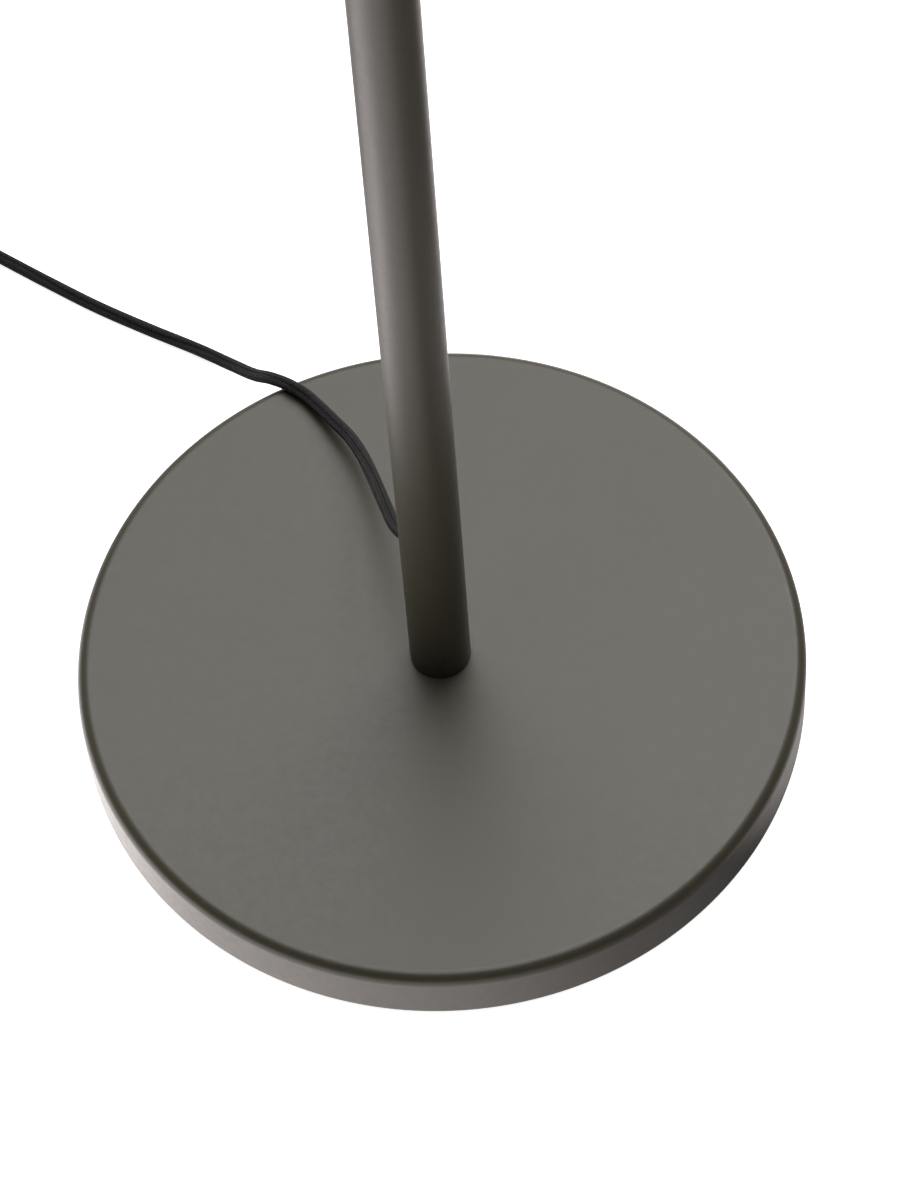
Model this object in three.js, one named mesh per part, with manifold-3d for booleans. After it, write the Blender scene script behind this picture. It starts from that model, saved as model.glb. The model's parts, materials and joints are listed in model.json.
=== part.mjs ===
// Adjustable arm floor lamp. Millimetres, +Z up, origin at the middle of the base's underside.
// A weighted disc base carries a round pole. A fork on top of the pole turns about the pole's axis
// and holds a friction knuckle, the arm runs out along +X, and a smaller fork and knuckle at its end
// carry the lamp head. The textile cord leaves the back of the pole low down and lies on the floor.
import * as THREE from "three";
import { mergeVertices } from "three/addons/utils/BufferGeometryUtils.js";
import Module from "manifold-3d";

const wasm = await Module();
wasm.setup();

// ---------- driving dimensions ----------
const gap = 0.3; // clearance between pieces that seat on each other
const turn = Math.PI / 180;

const base = { radius: 150, height: 28, edge: 5, wall: 2, lift: 0.8 };
const pad = { thickness: 3, inset: 1.5 };
const ballast = { pocketInner: 40, rim: 17.7, pocketDepth: 13, recessSpare: 3, boltSpare: 0.9 };
const baseBolt = { shank: 5, head: 9.8, headHeight: 6.3, reach: 23, washer: 14, washerHeight: 2 };

const pole = { radius: 12.5, wall: 1.5, seam: 640, top: 1200 };
const foot = { boreSpare: 3, crown: 4 }; // metal beside and above the base bolt's end
const coupler = { reach: 40, wall: 2.5, collar: 1 };

const cord = { radius: 2.75 };
const outlet = { height: 81, turn: 20, dip: 18, wall: 1.05, tipWall: 0.25, reach: 15.5 };
const outletFlange = { lip: 1.3, thickness: 1.4, clear: 1 };
const anchor = { above: 16, height: 16, screw: 1.5, screwHead: 3, screwHeadHeight: 1.6, screwClear: 1.45 };

const socket = { depth: 30, flange: 4 };
const swivelBush = { wall: 1.7, flange: 9, flangeHeight: 1.5 };
const swivelStem = { radius: 6, threadDepth: 1, leadClear: 0.35, past: 1.6 };
const stopWasher = { height: 3.4, lug: 2.2, lugHalfAngle: 10 };
const springWasher = { height: 1.1 };
const swivelNut = { height: 7.6, clear: 1.8 }; // clear of the pole's bore
const stopScrew = { radius: 1.5, clear: 0.4 }; // its tip is clear of the stop washer's round part

// The two friction joints are one family: a round fork, a tongue between its ears, two top-hat
// bushes and a screw from each side, which leaves the middle free for the lead. The slot, the
// tongue and the spot faces follow from the fork's radius and the thickness of its ears.
const frictionJoint = (sizes) => {
  const slot = sizes.radius - sizes.ear;
  return {
    ...sizes,
    slot,
    tongue: slot - sizes.bushFlangeHeight - 2 * gap,
    spot: sizes.radius - sizes.spotDepth,
    screwHead: sizes.spotRadius - sizes.headClear,
  };
};
const tilt = frictionJoint({
  radius: pole.radius, ear: 4.8, leadSlot: 3, base: 7, reach: 33.6,
  screw: 3, bushWall: 0.7, bushFlange: 9, bushFlangeHeight: 0.9,
  spotDepth: 1.5, spotRadius: 6, headClear: 0.5, screwHeadHeight: 2.5,
});
const headJoint = frictionJoint({
  radius: 10.5, ear: 4.2, leadSlot: 2.3, base: 5, reach: 26,
  screw: 2.4, bushWall: 0.7, bushFlange: 7.5, bushFlangeHeight: 0.7,
  spotDepth: 1.2, spotRadius: 4.6, headClear: 0.4, screwHeadHeight: 2,
});
const knob = { radius: 10, bossHeight: 1.9, height: 12, grip: 7, flutes: 12, flute: 1.2 };

const arm = { length: 600, radius: 8, wall: 1.2, collar: 24, shoulder: 3, spigot: 26 };
const innerLead = { radius: 2, clear: 0.4 };
const armScrew = { radius: 2, clear: 0.4, along: 13 }; // clear of the lead's bore
const endPlug = { depth: 30, flange: 3 };
const rollStem = { radius: 4, past: 3.5 };
const rollNut = { clear: 0.4, height: 6 }; // clear of the arm's bore
const rollWasher = { height: 1.5, spring: 1.1 };

const neck = { flange: 9, flangeHeight: 3, drop: 40, nipple: 4.8 };
const cup = { wall: 1.5, top: 2, spare: 1.3 };
const cupNut = { wall: 4.2, height: 5.4 };
const holder = { capClear: 0.5, wall: 4.8, top: 8, height: 46, below: 17, lip: 2.7, flangeHeight: 3 };
const shade = { shoulder: 25, mouth: 75, height: 90, wall: 1.2 };
const shadeRing = { height: 5.2 };
const bulb = { capRadius: 13.2, capHeight: 27, capWall: 1, globe: 22.5, wall: 1.1, tuck: 9 };
const contact = { radius: 4, height: 2.6 };
const button = { radius: 3.4, proud: 3.5, cap: 6, plunger: 2, plungerLength: 10, travel: 2.5 };
const bezel = { wall: 1.9, height: 1.5, clear: 0.2 }; // clear of the neck's flange
const switchBody = { wall: 1.6, height: 17.4, bore: 12.4, nutClear: 0.5, cupClear: 1.4 };

const coil = { x: -235.5, y: 221.4, turnSpacing: 5.5, innerTurn: 22, turns: 4, layers: 2, rise: 5.55 };
const plug = { x: -268, y: 52, length: 38, width: 30, thickness: 15, collar: 5, taper: 22, socketDepth: 8 };
const pin = { radius: 2, length: 19, spacing: 19 };

// The lead along the floor, chosen by hand from the outlet to the coil, then from the coil to the plug.
const leadRoute = [
  [-9.4, 25.9, 76.1], [-11.9, 31.6, 73.2], [-14.6, 38.5, 69.0],
  [-16.8, 47.7, 64.9], [-19.5, 60.5, 58.8], [-22.4, 74.3, 51.8],
  [-26.1, 89.0, 44.8], [-30.7, 101.4, 39.6], [-36.7, 112.1, 35.8],
  [-42.8, 121.8, 33.3], [-48.8, 129.9, 31.9], [-55.0, 135.4, 31.3],
  [-61.6, 141.1, 28.3], [-69.6, 150.3, 18.8], [-79.4, 162.9, 8.8],
  [-94.0, 176.0, 3.5], [-115.4, 189.3, 2.9], [-136.9, 203.0, 2.9],
  [-158.5, 218.6, 2.9], [-180.3, 235.0, 2.9], [-190.4, 242.6, 2.9],
];
const tailRoute = [
  [-279.5, 198.1, 7.6], [-279.6, 188.0, 6.3], [-279.2, 175.0, 4.3], [-278.0, 161.0, 3.2],
  [-276.0, 145.0, 2.9], [-273.5, 129.0, 2.9], [-271.0, 113.0, 3.0], [-269.2, 99.0, 4.0],
  [-268.3, 87.0, 6.0], [-268.0, 77.0, 7.3], [-268.0, 71.3, 7.5],
];

// ---------- shapes ----------
// A solid of revolution about Z. The profile of [radius, height] runs up the outside and down the inside.
function revolve(profile, sides = 24) {
  const outline = profile.map(([r, z]) => new THREE.Vector2(r, z));
  if (profile[0][0] > 0) outline.push(outline[0].clone());
  return new THREE.LatheGeometry(outline, sides).rotateX(Math.PI / 2);
}

const rod = (radius, low, high, sides = 24) =>
  revolve([[0, low], [radius, low], [radius, high], [0, high]], sides);

const ring = (outer, inner, low, high, sides = 24) =>
  revolve([[outer, low], [outer, high], [inner, high], [inner, low]], sides);

const block = (x0, x1, y0, y1, z0, z1) =>
  new THREE.BoxGeometry(x1 - x0, y1 - y0, z1 - z0)
    .translate((x0 + x1) / 2, (y0 + y1) / 2, (z0 + z1) / 2);

const alongX = (geometry) => geometry.rotateY(Math.PI / 2);
const alongY = (geometry) => geometry.rotateX(-Math.PI / 2);

// A quarter ellipse of [radius, height] points, from the first angle to the second.
function quarter(centreRadius, centreHeight, wide, tall, from, to, steps) {
  return Array.from({ length: steps + 1 }, (_, i) => {
    const angle = (from + ((to - from) * i) / steps) * turn;
    return [centreRadius + wide * Math.cos(angle), centreHeight + tall * Math.sin(angle)];
  });
}

// A round bar that follows a smooth curve through the points.
function bar(points, radius, steps, sides = 10) {
  const curve = new THREE.CatmullRomCurve3(points.map((p) => new THREE.Vector3(...p)), false, "centripetal");
  const section = new THREE.Shape(Array.from({ length: sides }, (_, i) => {
    const angle = (2 * Math.PI * i) / sides;
    return new THREE.Vector2(radius * Math.cos(angle), radius * Math.sin(angle));
  }));
  return new THREE.ExtrudeGeometry(section, { steps, extrudePath: curve, bevelEnabled: false });
}

// ---------- joining and cutting ----------
function solid(geometry) {
  const bare = geometry.clone();
  bare.deleteAttribute("normal");
  bare.deleteAttribute("uv");
  const merged = mergeVertices(bare, 1e-4);
  return new wasm.Manifold(new wasm.Mesh({
    numProp: 3,
    vertProperties: merged.attributes.position.array,
    triVerts: new Uint32Array(merged.index.array),
  }));
}

function shapeOf(manifold) {
  const { vertProperties, triVerts } = manifold.getMesh();
  return new THREE.BufferGeometry()
    .setAttribute("position", new THREE.BufferAttribute(new Float32Array(vertProperties), 3))
    .setIndex(new THREE.BufferAttribute(new Uint32Array(triVerts), 1));
}

const join = (...shapes) => shapeOf(shapes.map(solid).reduce((a, b) => a.add(b)));
const cut = (shape, ...tools) => shapeOf([shape, ...tools].map(solid).reduce((a, b) => a.subtract(b)));
const common = (a, b) => shapeOf(solid(a).intersect(solid(b)));

// ---------- finishes ----------
const finish = (color, roughness, metalness) =>
  new THREE.MeshStandardMaterial({ color, roughness, metalness });
const coat = finish(0x74736c, 0.55, 0.1); // warm grey powder coat
const steel = finish(0xa9a8a4, 0.35, 1);
const iron = finish(0x4a4947, 0.8, 0.6);
const brass = finish(0xb7955a, 0.35, 1);
const nylon = finish(0xd9d5c8, 0.6, 0);
const black = finish(0x262524, 0.55, 0);
const foam = finish(0x1f1f1e, 0.95, 0);
const textile = finish(0x2a2826, 0.95, 0);
const white = finish(0xf1efe9, 0.5, 0);
const opal = finish(0xf7f4ea, 0.3, 0);

function add(group, name, geometry, material) {
  const mesh = new THREE.Mesh(geometry, material);
  mesh.name = name;
  group.add(mesh);
  return mesh;
}

// ---------- groups, one for each set of pieces that move together ----------
const stand = new THREE.Group();
const swivel = new THREE.Group();
const armGroup = new THREE.Group();
const headSwivel = new THREE.Group();
const head = new THREE.Group();
const bushFlangeTop = pole.top + gap + socket.flange + gap + swivelBush.flangeHeight;
const yokeLow = bushFlangeTop + gap;
const armEnd = arm.length - headJoint.reach;
swivel.position.z = yokeLow;
armGroup.position.z = tilt.reach;
headSwivel.position.x = armEnd;
head.position.x = headJoint.reach;
stand.add(swivel);
swivel.add(armGroup);
armGroup.add(headSwivel);
headSwivel.add(head);

// ---------- base ----------
const coverInner = base.radius - base.wall;
const coverCeiling = base.height - base.wall;
const boltHole = baseBolt.shank + gap;
add(stand, "base_cover", revolve([
  [base.radius, base.lift],
  ...quarter(base.radius - base.edge, base.height - base.edge, base.edge, base.edge, 0, 90, 3),
  [boltHole, base.height],
  [boltHole, coverCeiling],
  ...quarter(base.radius - base.edge, base.height - base.edge,
    base.edge - base.wall, base.edge - base.wall, 90, 0, 1),
  [coverInner, base.lift],
], 60), coat);

const ballastLow = pad.thickness + gap;
const ballastHigh = coverCeiling - gap;
const ballastOuter = coverInner - gap;
const bevel = base.edge - base.wall + gap;
const pocketOuter = ballastOuter - ballast.rim;
const recessRadius = baseBolt.washer + ballast.recessSpare;
const boltLow = pad.thickness + ballast.boltSpare;
const boltSeat = boltLow + baseBolt.headHeight;
const washerLow = boltSeat + gap;
const washerHigh = washerLow + baseBolt.washerHeight;
const recessTop = washerHigh + gap;
add(stand, "ballast_plate", revolve([
  [ballastOuter, ballastLow],
  [ballastOuter, ballastHigh - bevel],
  [ballastOuter - bevel, ballastHigh],
  [boltHole, ballastHigh],
  [boltHole, recessTop],
  [recessRadius, recessTop],
  [recessRadius, ballastLow],
  [ballast.pocketInner, ballastLow],
  [ballast.pocketInner, ballastLow + ballast.pocketDepth],
  [pocketOuter, ballastLow + ballast.pocketDepth],
  [pocketOuter, ballastLow],
], 36), iron);

add(stand, "floor_pad", rod(coverInner - pad.inset, 0, pad.thickness, 48), foam);

add(stand, "base_washer", ring(baseBolt.washer, boltHole, washerLow, washerHigh), steel);
add(stand, "base_bolt", join(
  rod(baseBolt.head, boltLow, boltSeat, 6),
  rod(baseBolt.shank, boltSeat - 1, base.height + baseBolt.reach, 16),
), steel);

// ---------- pole ----------
const poleInner = pole.radius - pole.wall;
const poleLow = base.height + gap;
const plugRadius = poleInner - gap;
const footBore = baseBolt.reach + foot.boreSpare;
add(stand, "pole_foot", cut(
  rod(plugRadius, poleLow, poleLow + footBore + foot.crown),
  rod(boltHole, poleLow - 1, poleLow + footBore, 16),
), steel);

// The outlet's own frame has +Z along the cord as it leaves the back of the pole.
const outletDirection = new THREE.Vector3(
  -Math.sin(outlet.turn * turn) * Math.cos(outlet.dip * turn),
  Math.cos(outlet.turn * turn) * Math.cos(outlet.dip * turn),
  -Math.sin(outlet.dip * turn),
);
const outletPlace = new THREE.Matrix4().compose(
  new THREE.Vector3(
    -pole.radius * Math.sin(outlet.turn * turn),
    pole.radius * Math.cos(outlet.turn * turn),
    outlet.height,
  ),
  new THREE.Quaternion().setFromUnitVectors(new THREE.Vector3(0, 0, 1), outletDirection),
  new THREE.Vector3(1, 1, 1),
);
const onOutlet = (geometry) => geometry.applyMatrix4(outletPlace);
const cordBore = cord.radius + gap;
const sleeve = cordBore + outlet.wall;
const outletLip = sleeve + outletFlange.lip;
const anchorLow = outlet.height + anchor.above;
const anchorMiddle = anchorLow + anchor.height / 2;
const screwHole = anchor.screw + gap;
const seamLow = pole.seam - coupler.collar / 2 - gap;
const seamHigh = pole.seam + coupler.collar / 2 + gap;

add(stand, "lower_pole", cut(
  ring(pole.radius, poleInner, poleLow, seamLow, 32),
  onOutlet(rod(sleeve + gap, -sleeve, sleeve, 16)),
  alongY(rod(screwHole, poleInner - 2, pole.radius + 2, 10)).translate(0, 0, anchorMiddle),
), coat);

// The flange sits against the inside of the round wall, so its rim is set back by the wall's curve.
const wallCurve = poleInner - Math.sqrt(poleInner ** 2 - outletLip ** 2);
const flangeFront = -(pole.wall + wallCurve + outletFlange.clear);
const strainRelief = add(stand, "strain_relief", revolve([
  [outletLip, flangeFront - outletFlange.thickness],
  [outletLip, flangeFront],
  [sleeve, flangeFront],
  [sleeve, 1.5],
  [cordBore + outlet.tipWall, outlet.reach],
  [cordBore, outlet.reach],
  [cordBore, flangeFront - outletFlange.thickness],
], 16), black);
strainRelief.applyMatrix4(outletPlace);

const anchorTip = cordBore + anchor.screwClear;
add(stand, "cord_anchor", cut(
  ring(plugRadius, cordBore, anchorLow, anchorLow + anchor.height),
  alongY(rod(screwHole, anchorTip - gap, pole.radius, 10)).translate(0, 0, anchorMiddle),
), nylon);
const anchorScrew = add(stand, "anchor_screw", join(
  rod(anchor.screw, anchorTip, pole.radius + gap + 1, 10),
  rod(anchor.screwHead, pole.radius + gap, pole.radius + gap + anchor.screwHeadHeight, 12),
), steel);
anchorScrew.rotation.x = -Math.PI / 2;
anchorScrew.position.z = anchorMiddle;

add(stand, "pole_coupler", revolve([
  [plugRadius, pole.seam - coupler.reach],
  [plugRadius, pole.seam - coupler.collar / 2],
  [pole.radius, pole.seam - coupler.collar / 2],
  [pole.radius, pole.seam + coupler.collar / 2],
  [plugRadius, pole.seam + coupler.collar / 2],
  [plugRadius, pole.seam + coupler.reach],
  [plugRadius - coupler.wall, pole.seam + coupler.reach],
  [plugRadius - coupler.wall, pole.seam - coupler.reach],
]), coat);

const socketLow = pole.top - socket.depth;
const springHigh = socketLow - gap;
const springLow = springHigh - springWasher.height;
const stopHigh = springLow - gap;
const stopLow = stopHigh - stopWasher.height;
const stopHeight = stopHigh - stopScrew.radius;
add(stand, "upper_pole", cut(
  ring(pole.radius, poleInner, seamHigh, pole.top, 32),
  alongX(rod(stopScrew.radius + gap, -pole.radius - 2, -poleInner + 2, 10)).translate(0, 0, stopHeight),
), coat);

// ---------- swivel on top of the pole ----------
const bushBore = swivelStem.radius + gap;
const bushOuter = bushBore + swivelBush.wall;
const socketBore = bushOuter + gap;
const socketTop = pole.top + gap + socket.flange;
const stopRound = poleInner - 1 - stopWasher.lug;
add(stand, "swivel_socket", revolve([
  [plugRadius, socketLow],
  [plugRadius, pole.top + gap],
  [pole.radius, pole.top + gap],
  [pole.radius, socketTop],
  [socketBore, socketTop],
  [socketBore, socketLow],
], 32), coat);
add(stand, "swivel_bush", revolve([
  [bushOuter, socketLow],
  [bushOuter, socketTop + gap],
  [swivelBush.flange, socketTop + gap],
  [swivelBush.flange, bushFlangeTop],
  [bushBore, bushFlangeTop],
  [bushBore, socketLow],
]), nylon);
const stopScrewMesh = add(stand, "swivel_stop_screw",
  rod(stopScrew.radius, stopRound + stopScrew.clear, pole.radius, 10), steel);
stopScrewMesh.rotation.y = -Math.PI / 2;
stopScrewMesh.position.z = stopHeight;

// The cord's way inside: through the outlet, round a bend and up the middle of the pole.
const fromOutlet = (along) => new THREE.Vector3(0, 0, along).applyMatrix4(outletPlace).toArray();
const straightLow = anchorLow - 2;
add(stand, "pole_lead", join(
  bar([
    fromOutlet(outlet.reach - gap), fromOutlet(6), fromOutlet(-1), fromOutlet(-6),
    [-0.6, 1.6, outlet.height + 6], [0, 0.2, outlet.height + 11], [0, 0, straightLow + 1],
  ], cord.radius, 14, 10),
  rod(cord.radius, straightLow, yokeLow + tilt.base, 10),
), textile);

// A round fork about Z: a stem below, a base disc, and two ears up to the pivot at the reach.
function fork(joint, stemLength, stemRadius, threadLength, threadRadius, bore) {
  const top = joint.reach + joint.radius;
  const barrel = cut(
    rod(joint.radius, 0, top, 28),
    block(-20, 20, -joint.slot, joint.slot, joint.base, top + 1),
  );
  const outline = join(
    block(-20, 20, -20, 20, 0, joint.reach),
    alongY(rod(joint.radius, -20, 20, 24)).translate(0, 0, joint.reach),
  );
  const earBore = joint.screw + gap + joint.bushWall + gap;
  const pivotCut = join(
    alongY(rod(earBore, -20, 20, 12)),
    alongY(rod(joint.spotRadius, joint.spot, 20, 14)),
    alongY(rod(joint.spotRadius, -20, -joint.spot, 14)),
  ).translate(0, 0, joint.reach);
  const stem = revolve([
    [0, -stemLength],
    [threadRadius, -stemLength],
    [threadRadius, -stemLength + threadLength],
    [stemRadius, -stemLength + threadLength],
    [stemRadius, 1],
    [0, 1],
  ]);
  return cut(join(common(barrel, outline), stem), pivotCut, rod(bore, -stemLength - 1, joint.base + 1, 12));
}

// One top-hat bush, its flange on the tongue's side of the ear, for the +Y ear.
function topHat(joint) {
  const bore = joint.screw + gap;
  const sleeve = bore + joint.bushWall;
  const flangeOut = joint.slot - gap;
  return alongY(revolve([
    [joint.bushFlange, flangeOut - joint.bushFlangeHeight],
    [joint.bushFlange, flangeOut],
    [sleeve, flangeOut],
    [sleeve, joint.spot - 0.1],
    [bore, joint.spot - 0.1],
    [bore, flangeOut - joint.bushFlangeHeight],
  ], 12));
}

// One pivot screw for the +Y ear, with a hexagon recess in its head.
function pivotScrew(joint) {
  const seat = joint.spot + gap;
  return alongY(cut(
    join(
      rod(joint.screw, joint.leadSlot + 0.1, seat + 1, 12),
      rod(joint.screwHead, seat, seat + joint.screwHeadHeight, 14),
    ),
    rod(joint.screwHead * 0.42, seat + joint.screwHeadHeight - 1.3, seat + joint.screwHeadHeight + 1, 6),
  ));
}

const nutHigh = stopLow - gap - yokeLow;
const stemLength = swivelNut.height - nutHigh + swivelStem.past;
const threadLength = stemLength - (yokeLow - socketLow) + 1;
const threadRadius = swivelStem.radius - swivelStem.threadDepth;
const threadBore = threadRadius + gap;
const leadBore = innerLead.radius + innerLead.clear;
add(swivel, "swivel_yoke",
  fork(tilt, stemLength, swivelStem.radius, threadLength, threadRadius,
    cord.radius + swivelStem.leadClear), coat);
add(swivel, "swivel_spring_washer",
  ring(poleInner - 1, threadBore, springLow - yokeLow, springHigh - yokeLow, 20), steel);
const lugReach = (poleInner - 1) * Math.cos(stopWasher.lugHalfAngle * turn);
const lugHalf = (poleInner - 1) * Math.sin(stopWasher.lugHalfAngle * turn);
add(swivel, "swivel_stop_washer", cut(
  join(
    rod(stopRound, stopLow - yokeLow, stopHigh - yokeLow, 24),
    block(0, lugReach, -lugHalf, lugHalf, stopLow - yokeLow, stopHigh - yokeLow),
  ),
  rod(threadBore, stopLow - yokeLow - 1, stopHigh - yokeLow + 1, 16),
), steel);
add(swivel, "swivel_nut", cut(
  rod(poleInner - swivelNut.clear, nutHigh - swivelNut.height, nutHigh, 6),
  rod(threadBore, nutHigh - swivelNut.height - 1, nutHigh + 1, 16),
), steel);
add(swivel, "tilt_bush_left", topHat(tilt), nylon).position.z = tilt.reach;
const tiltBushRight = add(swivel, "tilt_bush_right", topHat(tilt), nylon);
tiltBushRight.position.z = tilt.reach;
tiltBushRight.rotation.z = Math.PI;

// ---------- arm ----------
const armInner = arm.radius - arm.wall;
const armPlug = armInner - gap;
const tongueRadius = (joint) => joint.radius - gap;
const armScrewTip = -leadBore - armScrew.clear;
const screwBore = (joint) => alongY(rod(joint.screw + gap, -20, 20, 16));
add(armGroup, "arm_knuckle", cut(
  join(
    alongY(rod(tongueRadius(tilt), -tilt.tongue, tilt.tongue, 24)),
    alongX(rod(arm.radius, 6, arm.collar, 24)),
    alongX(rod(armPlug, arm.collar - 1, arm.collar + arm.spigot, 20)),
  ),
  screwBore(tilt),
  alongX(rod(leadBore, 0, arm.collar + arm.spigot + 1, 12)),
  block(-tilt.radius, 5, -tilt.leadSlot, tilt.leadSlot, -tilt.radius, leadBore),
  block(5, arm.collar - arm.shoulder, -20, -tilt.tongue, -20, 20),
  block(5, arm.collar - arm.shoulder, tilt.tongue, 20, -20, 20),
  rod(armScrew.radius + gap, -arm.radius - 1, armScrewTip + gap, 10)
    .translate(arm.collar + armScrew.along, 0, 0),
), coat);
add(armGroup, "tilt_screw", pivotScrew(tilt), steel);
add(armGroup, "tilt_stud",
  alongY(rod(tilt.screw, -tilt.spot - gap - knob.bossHeight - knob.grip, -tilt.leadSlot - 0.1, 16)), steel);
const knobSeat = tilt.spot + gap;
const knobFace = knobSeat + knob.bossHeight;
const flutes = Array.from({ length: knob.flutes }, (_, i) => {
  const angle = (2 * Math.PI * i) / knob.flutes;
  return rod(knob.flute, knobFace - 1, knobFace + knob.height + 1, 6)
    .translate(knob.radius * Math.cos(angle), knob.radius * Math.sin(angle), 0);
});
add(armGroup, "tilt_knob", cut(
  join(
    rod(tilt.screwHead, knobSeat, knobFace + 1, 20),
    revolve([
      [0, knobFace],
      [knob.radius, knobFace],
      [knob.radius, knobFace + knob.height - 1],
      [knob.radius - 1, knobFace + knob.height],
      [0, knobFace + knob.height],
    ], 24),
  ),
  rod(tilt.screw + gap, knobSeat - 1, knobFace + knob.grip + gap, 16),
  ...flutes,
).rotateX(Math.PI / 2), black);

const tubeLow = arm.collar + gap;
const tubeHigh = armEnd - 2 * gap - endPlug.flange;
add(armGroup, "arm_tube", cut(
  alongX(ring(arm.radius, armInner, tubeLow, tubeHigh, 28)),
  rod(armScrew.radius + gap, -arm.radius - 1, -armInner + 1, 10)
    .translate(arm.collar + armScrew.along, 0, 0),
), coat);
add(armGroup, "arm_screw", rod(armScrew.radius, -arm.radius, armScrewTip, 10), steel)
  .position.x = arm.collar + armScrew.along;
const rollBore = rollStem.radius + gap;
add(armGroup, "arm_end_plug", alongX(revolve([
  [armPlug, tubeHigh - endPlug.depth],
  [armPlug, tubeHigh + gap],
  [arm.radius, tubeHigh + gap],
  [arm.radius, tubeHigh + gap + endPlug.flange],
  [rollBore, tubeHigh + gap + endPlug.flange],
  [rollBore, tubeHigh - endPlug.depth],
], 24)), coat);
add(armGroup, "arm_lead", alongX(rod(innerLead.radius, 7, armEnd + headJoint.base, 10)), textile);

// ---------- swivel at the end of the arm ----------
const plugBack = tubeHigh - endPlug.depth - armEnd;
const rollSpringHigh = plugBack - gap;
const rollWasherHigh = rollSpringHigh - rollWasher.spring - gap;
const rollNutHigh = rollWasherHigh - rollWasher.height - gap;
const rollStemLength = rollNut.height - rollNutHigh + rollStem.past;
const rollNutRadius = armInner - rollNut.clear;
add(headSwivel, "head_fork",
  alongX(fork(headJoint, rollStemLength, rollStem.radius, 1, rollStem.radius - 0.2, leadBore)), coat);
add(headSwivel, "roll_spring_washer",
  alongX(ring(rollNutRadius, rollBore, rollSpringHigh - rollWasher.spring, rollSpringHigh, 16)), steel);
add(headSwivel, "roll_washer",
  alongX(ring(rollNutRadius, rollBore, rollWasherHigh - rollWasher.height, rollWasherHigh, 16)), steel);
add(headSwivel, "roll_nut", alongX(cut(
  rod(rollNutRadius, rollNutHigh - rollNut.height, rollNutHigh, 6),
  rod(rollBore, rollNutHigh - rollNut.height - 1, rollNutHigh + 1, 12),
)), steel);
add(headSwivel, "head_bush_left", topHat(headJoint), nylon).position.x = headJoint.reach;
const headBushRight = add(headSwivel, "head_bush_right", topHat(headJoint), nylon);
headBushRight.position.x = headJoint.reach;
headBushRight.rotation.z = Math.PI;

// ---------- lamp head, hanging along -Z from its pivot ----------
const holderBore = bulb.capRadius + holder.capClear;
const holderRadius = holderBore + holder.wall;
const buttonHole = button.radius + gap;
const bezelRadius = buttonHole + bezel.wall;
const switchRadius = buttonHole + switchBody.wall;
const cupNutRadius = neck.nipple + cupNut.wall;
const buttonOut = Math.max(
  neck.flange + bezel.clear + bezelRadius,
  cupNutRadius + switchBody.nutClear + switchRadius,
);
const cupInner = Math.max(
  holderRadius + holder.lip + gap,
  buttonOut + switchRadius + switchBody.cupClear,
);
const holderLip = cupInner - gap;
const cupRadius = cupInner + cup.wall;
const cupTop = -neck.drop - gap;
const cupCeiling = cupTop - cup.top;
const cupLow = cupCeiling - gap - switchBody.height - cup.spare - (holder.height - holder.below);
const shadeTop = cupLow - gap;
const holderFlangeLow = cupLow;
const holderLow = holderFlangeLow - holder.below;
const holderTop = holderLow + holder.height;
const nippleBore = neck.nipple + gap;
add(head, "head_knuckle", cut(
  join(
    alongY(rod(tongueRadius(headJoint), -headJoint.tongue, headJoint.tongue, 20)),
    rod(headJoint.tongue, -neck.drop, -4, 20),
    rod(neck.flange, -neck.drop, -neck.drop + neck.flangeHeight, 24),
    rod(neck.nipple, holderTop - holder.top + 2, -neck.drop + 1, 16),
  ),
  screwBore(headJoint),
  rod(leadBore, holderTop - holder.top, 0, 12),
  block(-headJoint.radius, leadBore, -headJoint.leadSlot, headJoint.leadSlot, -4, headJoint.radius),
), coat);
add(head, "head_screw_left", pivotScrew(headJoint), steel);
add(head, "head_screw_right", pivotScrew(headJoint), steel).rotation.z = Math.PI;
add(head, "head_lead", rod(innerLead.radius, holderTop - holder.top + 2, -4, 10), textile);

add(head, "head_cup", cut(
  revolve([
    [cupRadius, cupLow],
    [cupRadius, cupTop - 3],
    [cupRadius - 0.9, cupTop - 0.9],
    [cupRadius - 3, cupTop],
    [nippleBore, cupTop],
    [nippleBore, cupCeiling],
    [cupInner - 1.5, cupCeiling],
    [cupInner, cupCeiling - 1.5],
    [cupInner, cupLow],
  ], 24),
  rod(buttonHole, cupCeiling - 1, cupTop + 1, 16).translate(buttonOut, 0, 0),
), coat);
add(head, "cup_nut", cut(
  rod(cupNutRadius, cupCeiling - gap - cupNut.height, cupCeiling - gap, 6),
  rod(nippleBore, cupCeiling - gap - cupNut.height - 1, cupCeiling, 16),
), steel);

const bezelLow = cupTop + gap;
const bezelHigh = bezelLow + bezel.height;
add(head, "switch_bezel", ring(bezelRadius, buttonHole, bezelLow, bezelHigh, 20), steel)
  .position.x = buttonOut;
const switchHigh = cupCeiling - gap;
const buttonHigh = bezelHigh + button.proud;
const buttonLow = buttonHigh - button.cap;
add(head, "switch_body", revolve([
  [0, switchHigh - switchBody.height],
  [switchRadius, switchHigh - switchBody.height],
  [switchRadius, switchHigh],
  [buttonHole, switchHigh],
  [buttonHole, buttonLow - button.travel - gap],
  [button.plunger + gap, buttonLow - button.travel - gap],
  [button.plunger + gap, switchHigh - switchBody.bore],
  [0, switchHigh - switchBody.bore],
], 16), black).position.x = buttonOut;
add(head, "switch_button", revolve([
  [0, buttonLow - button.plungerLength + button.travel],
  [button.plunger, buttonLow - button.plungerLength + button.travel],
  [button.plunger, buttonLow],
  [button.radius, buttonLow],
  [button.radius, buttonHigh - 0.6],
  [button.radius - 0.6, buttonHigh],
  [0, buttonHigh],
], 20), black).position.x = buttonOut;

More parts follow.
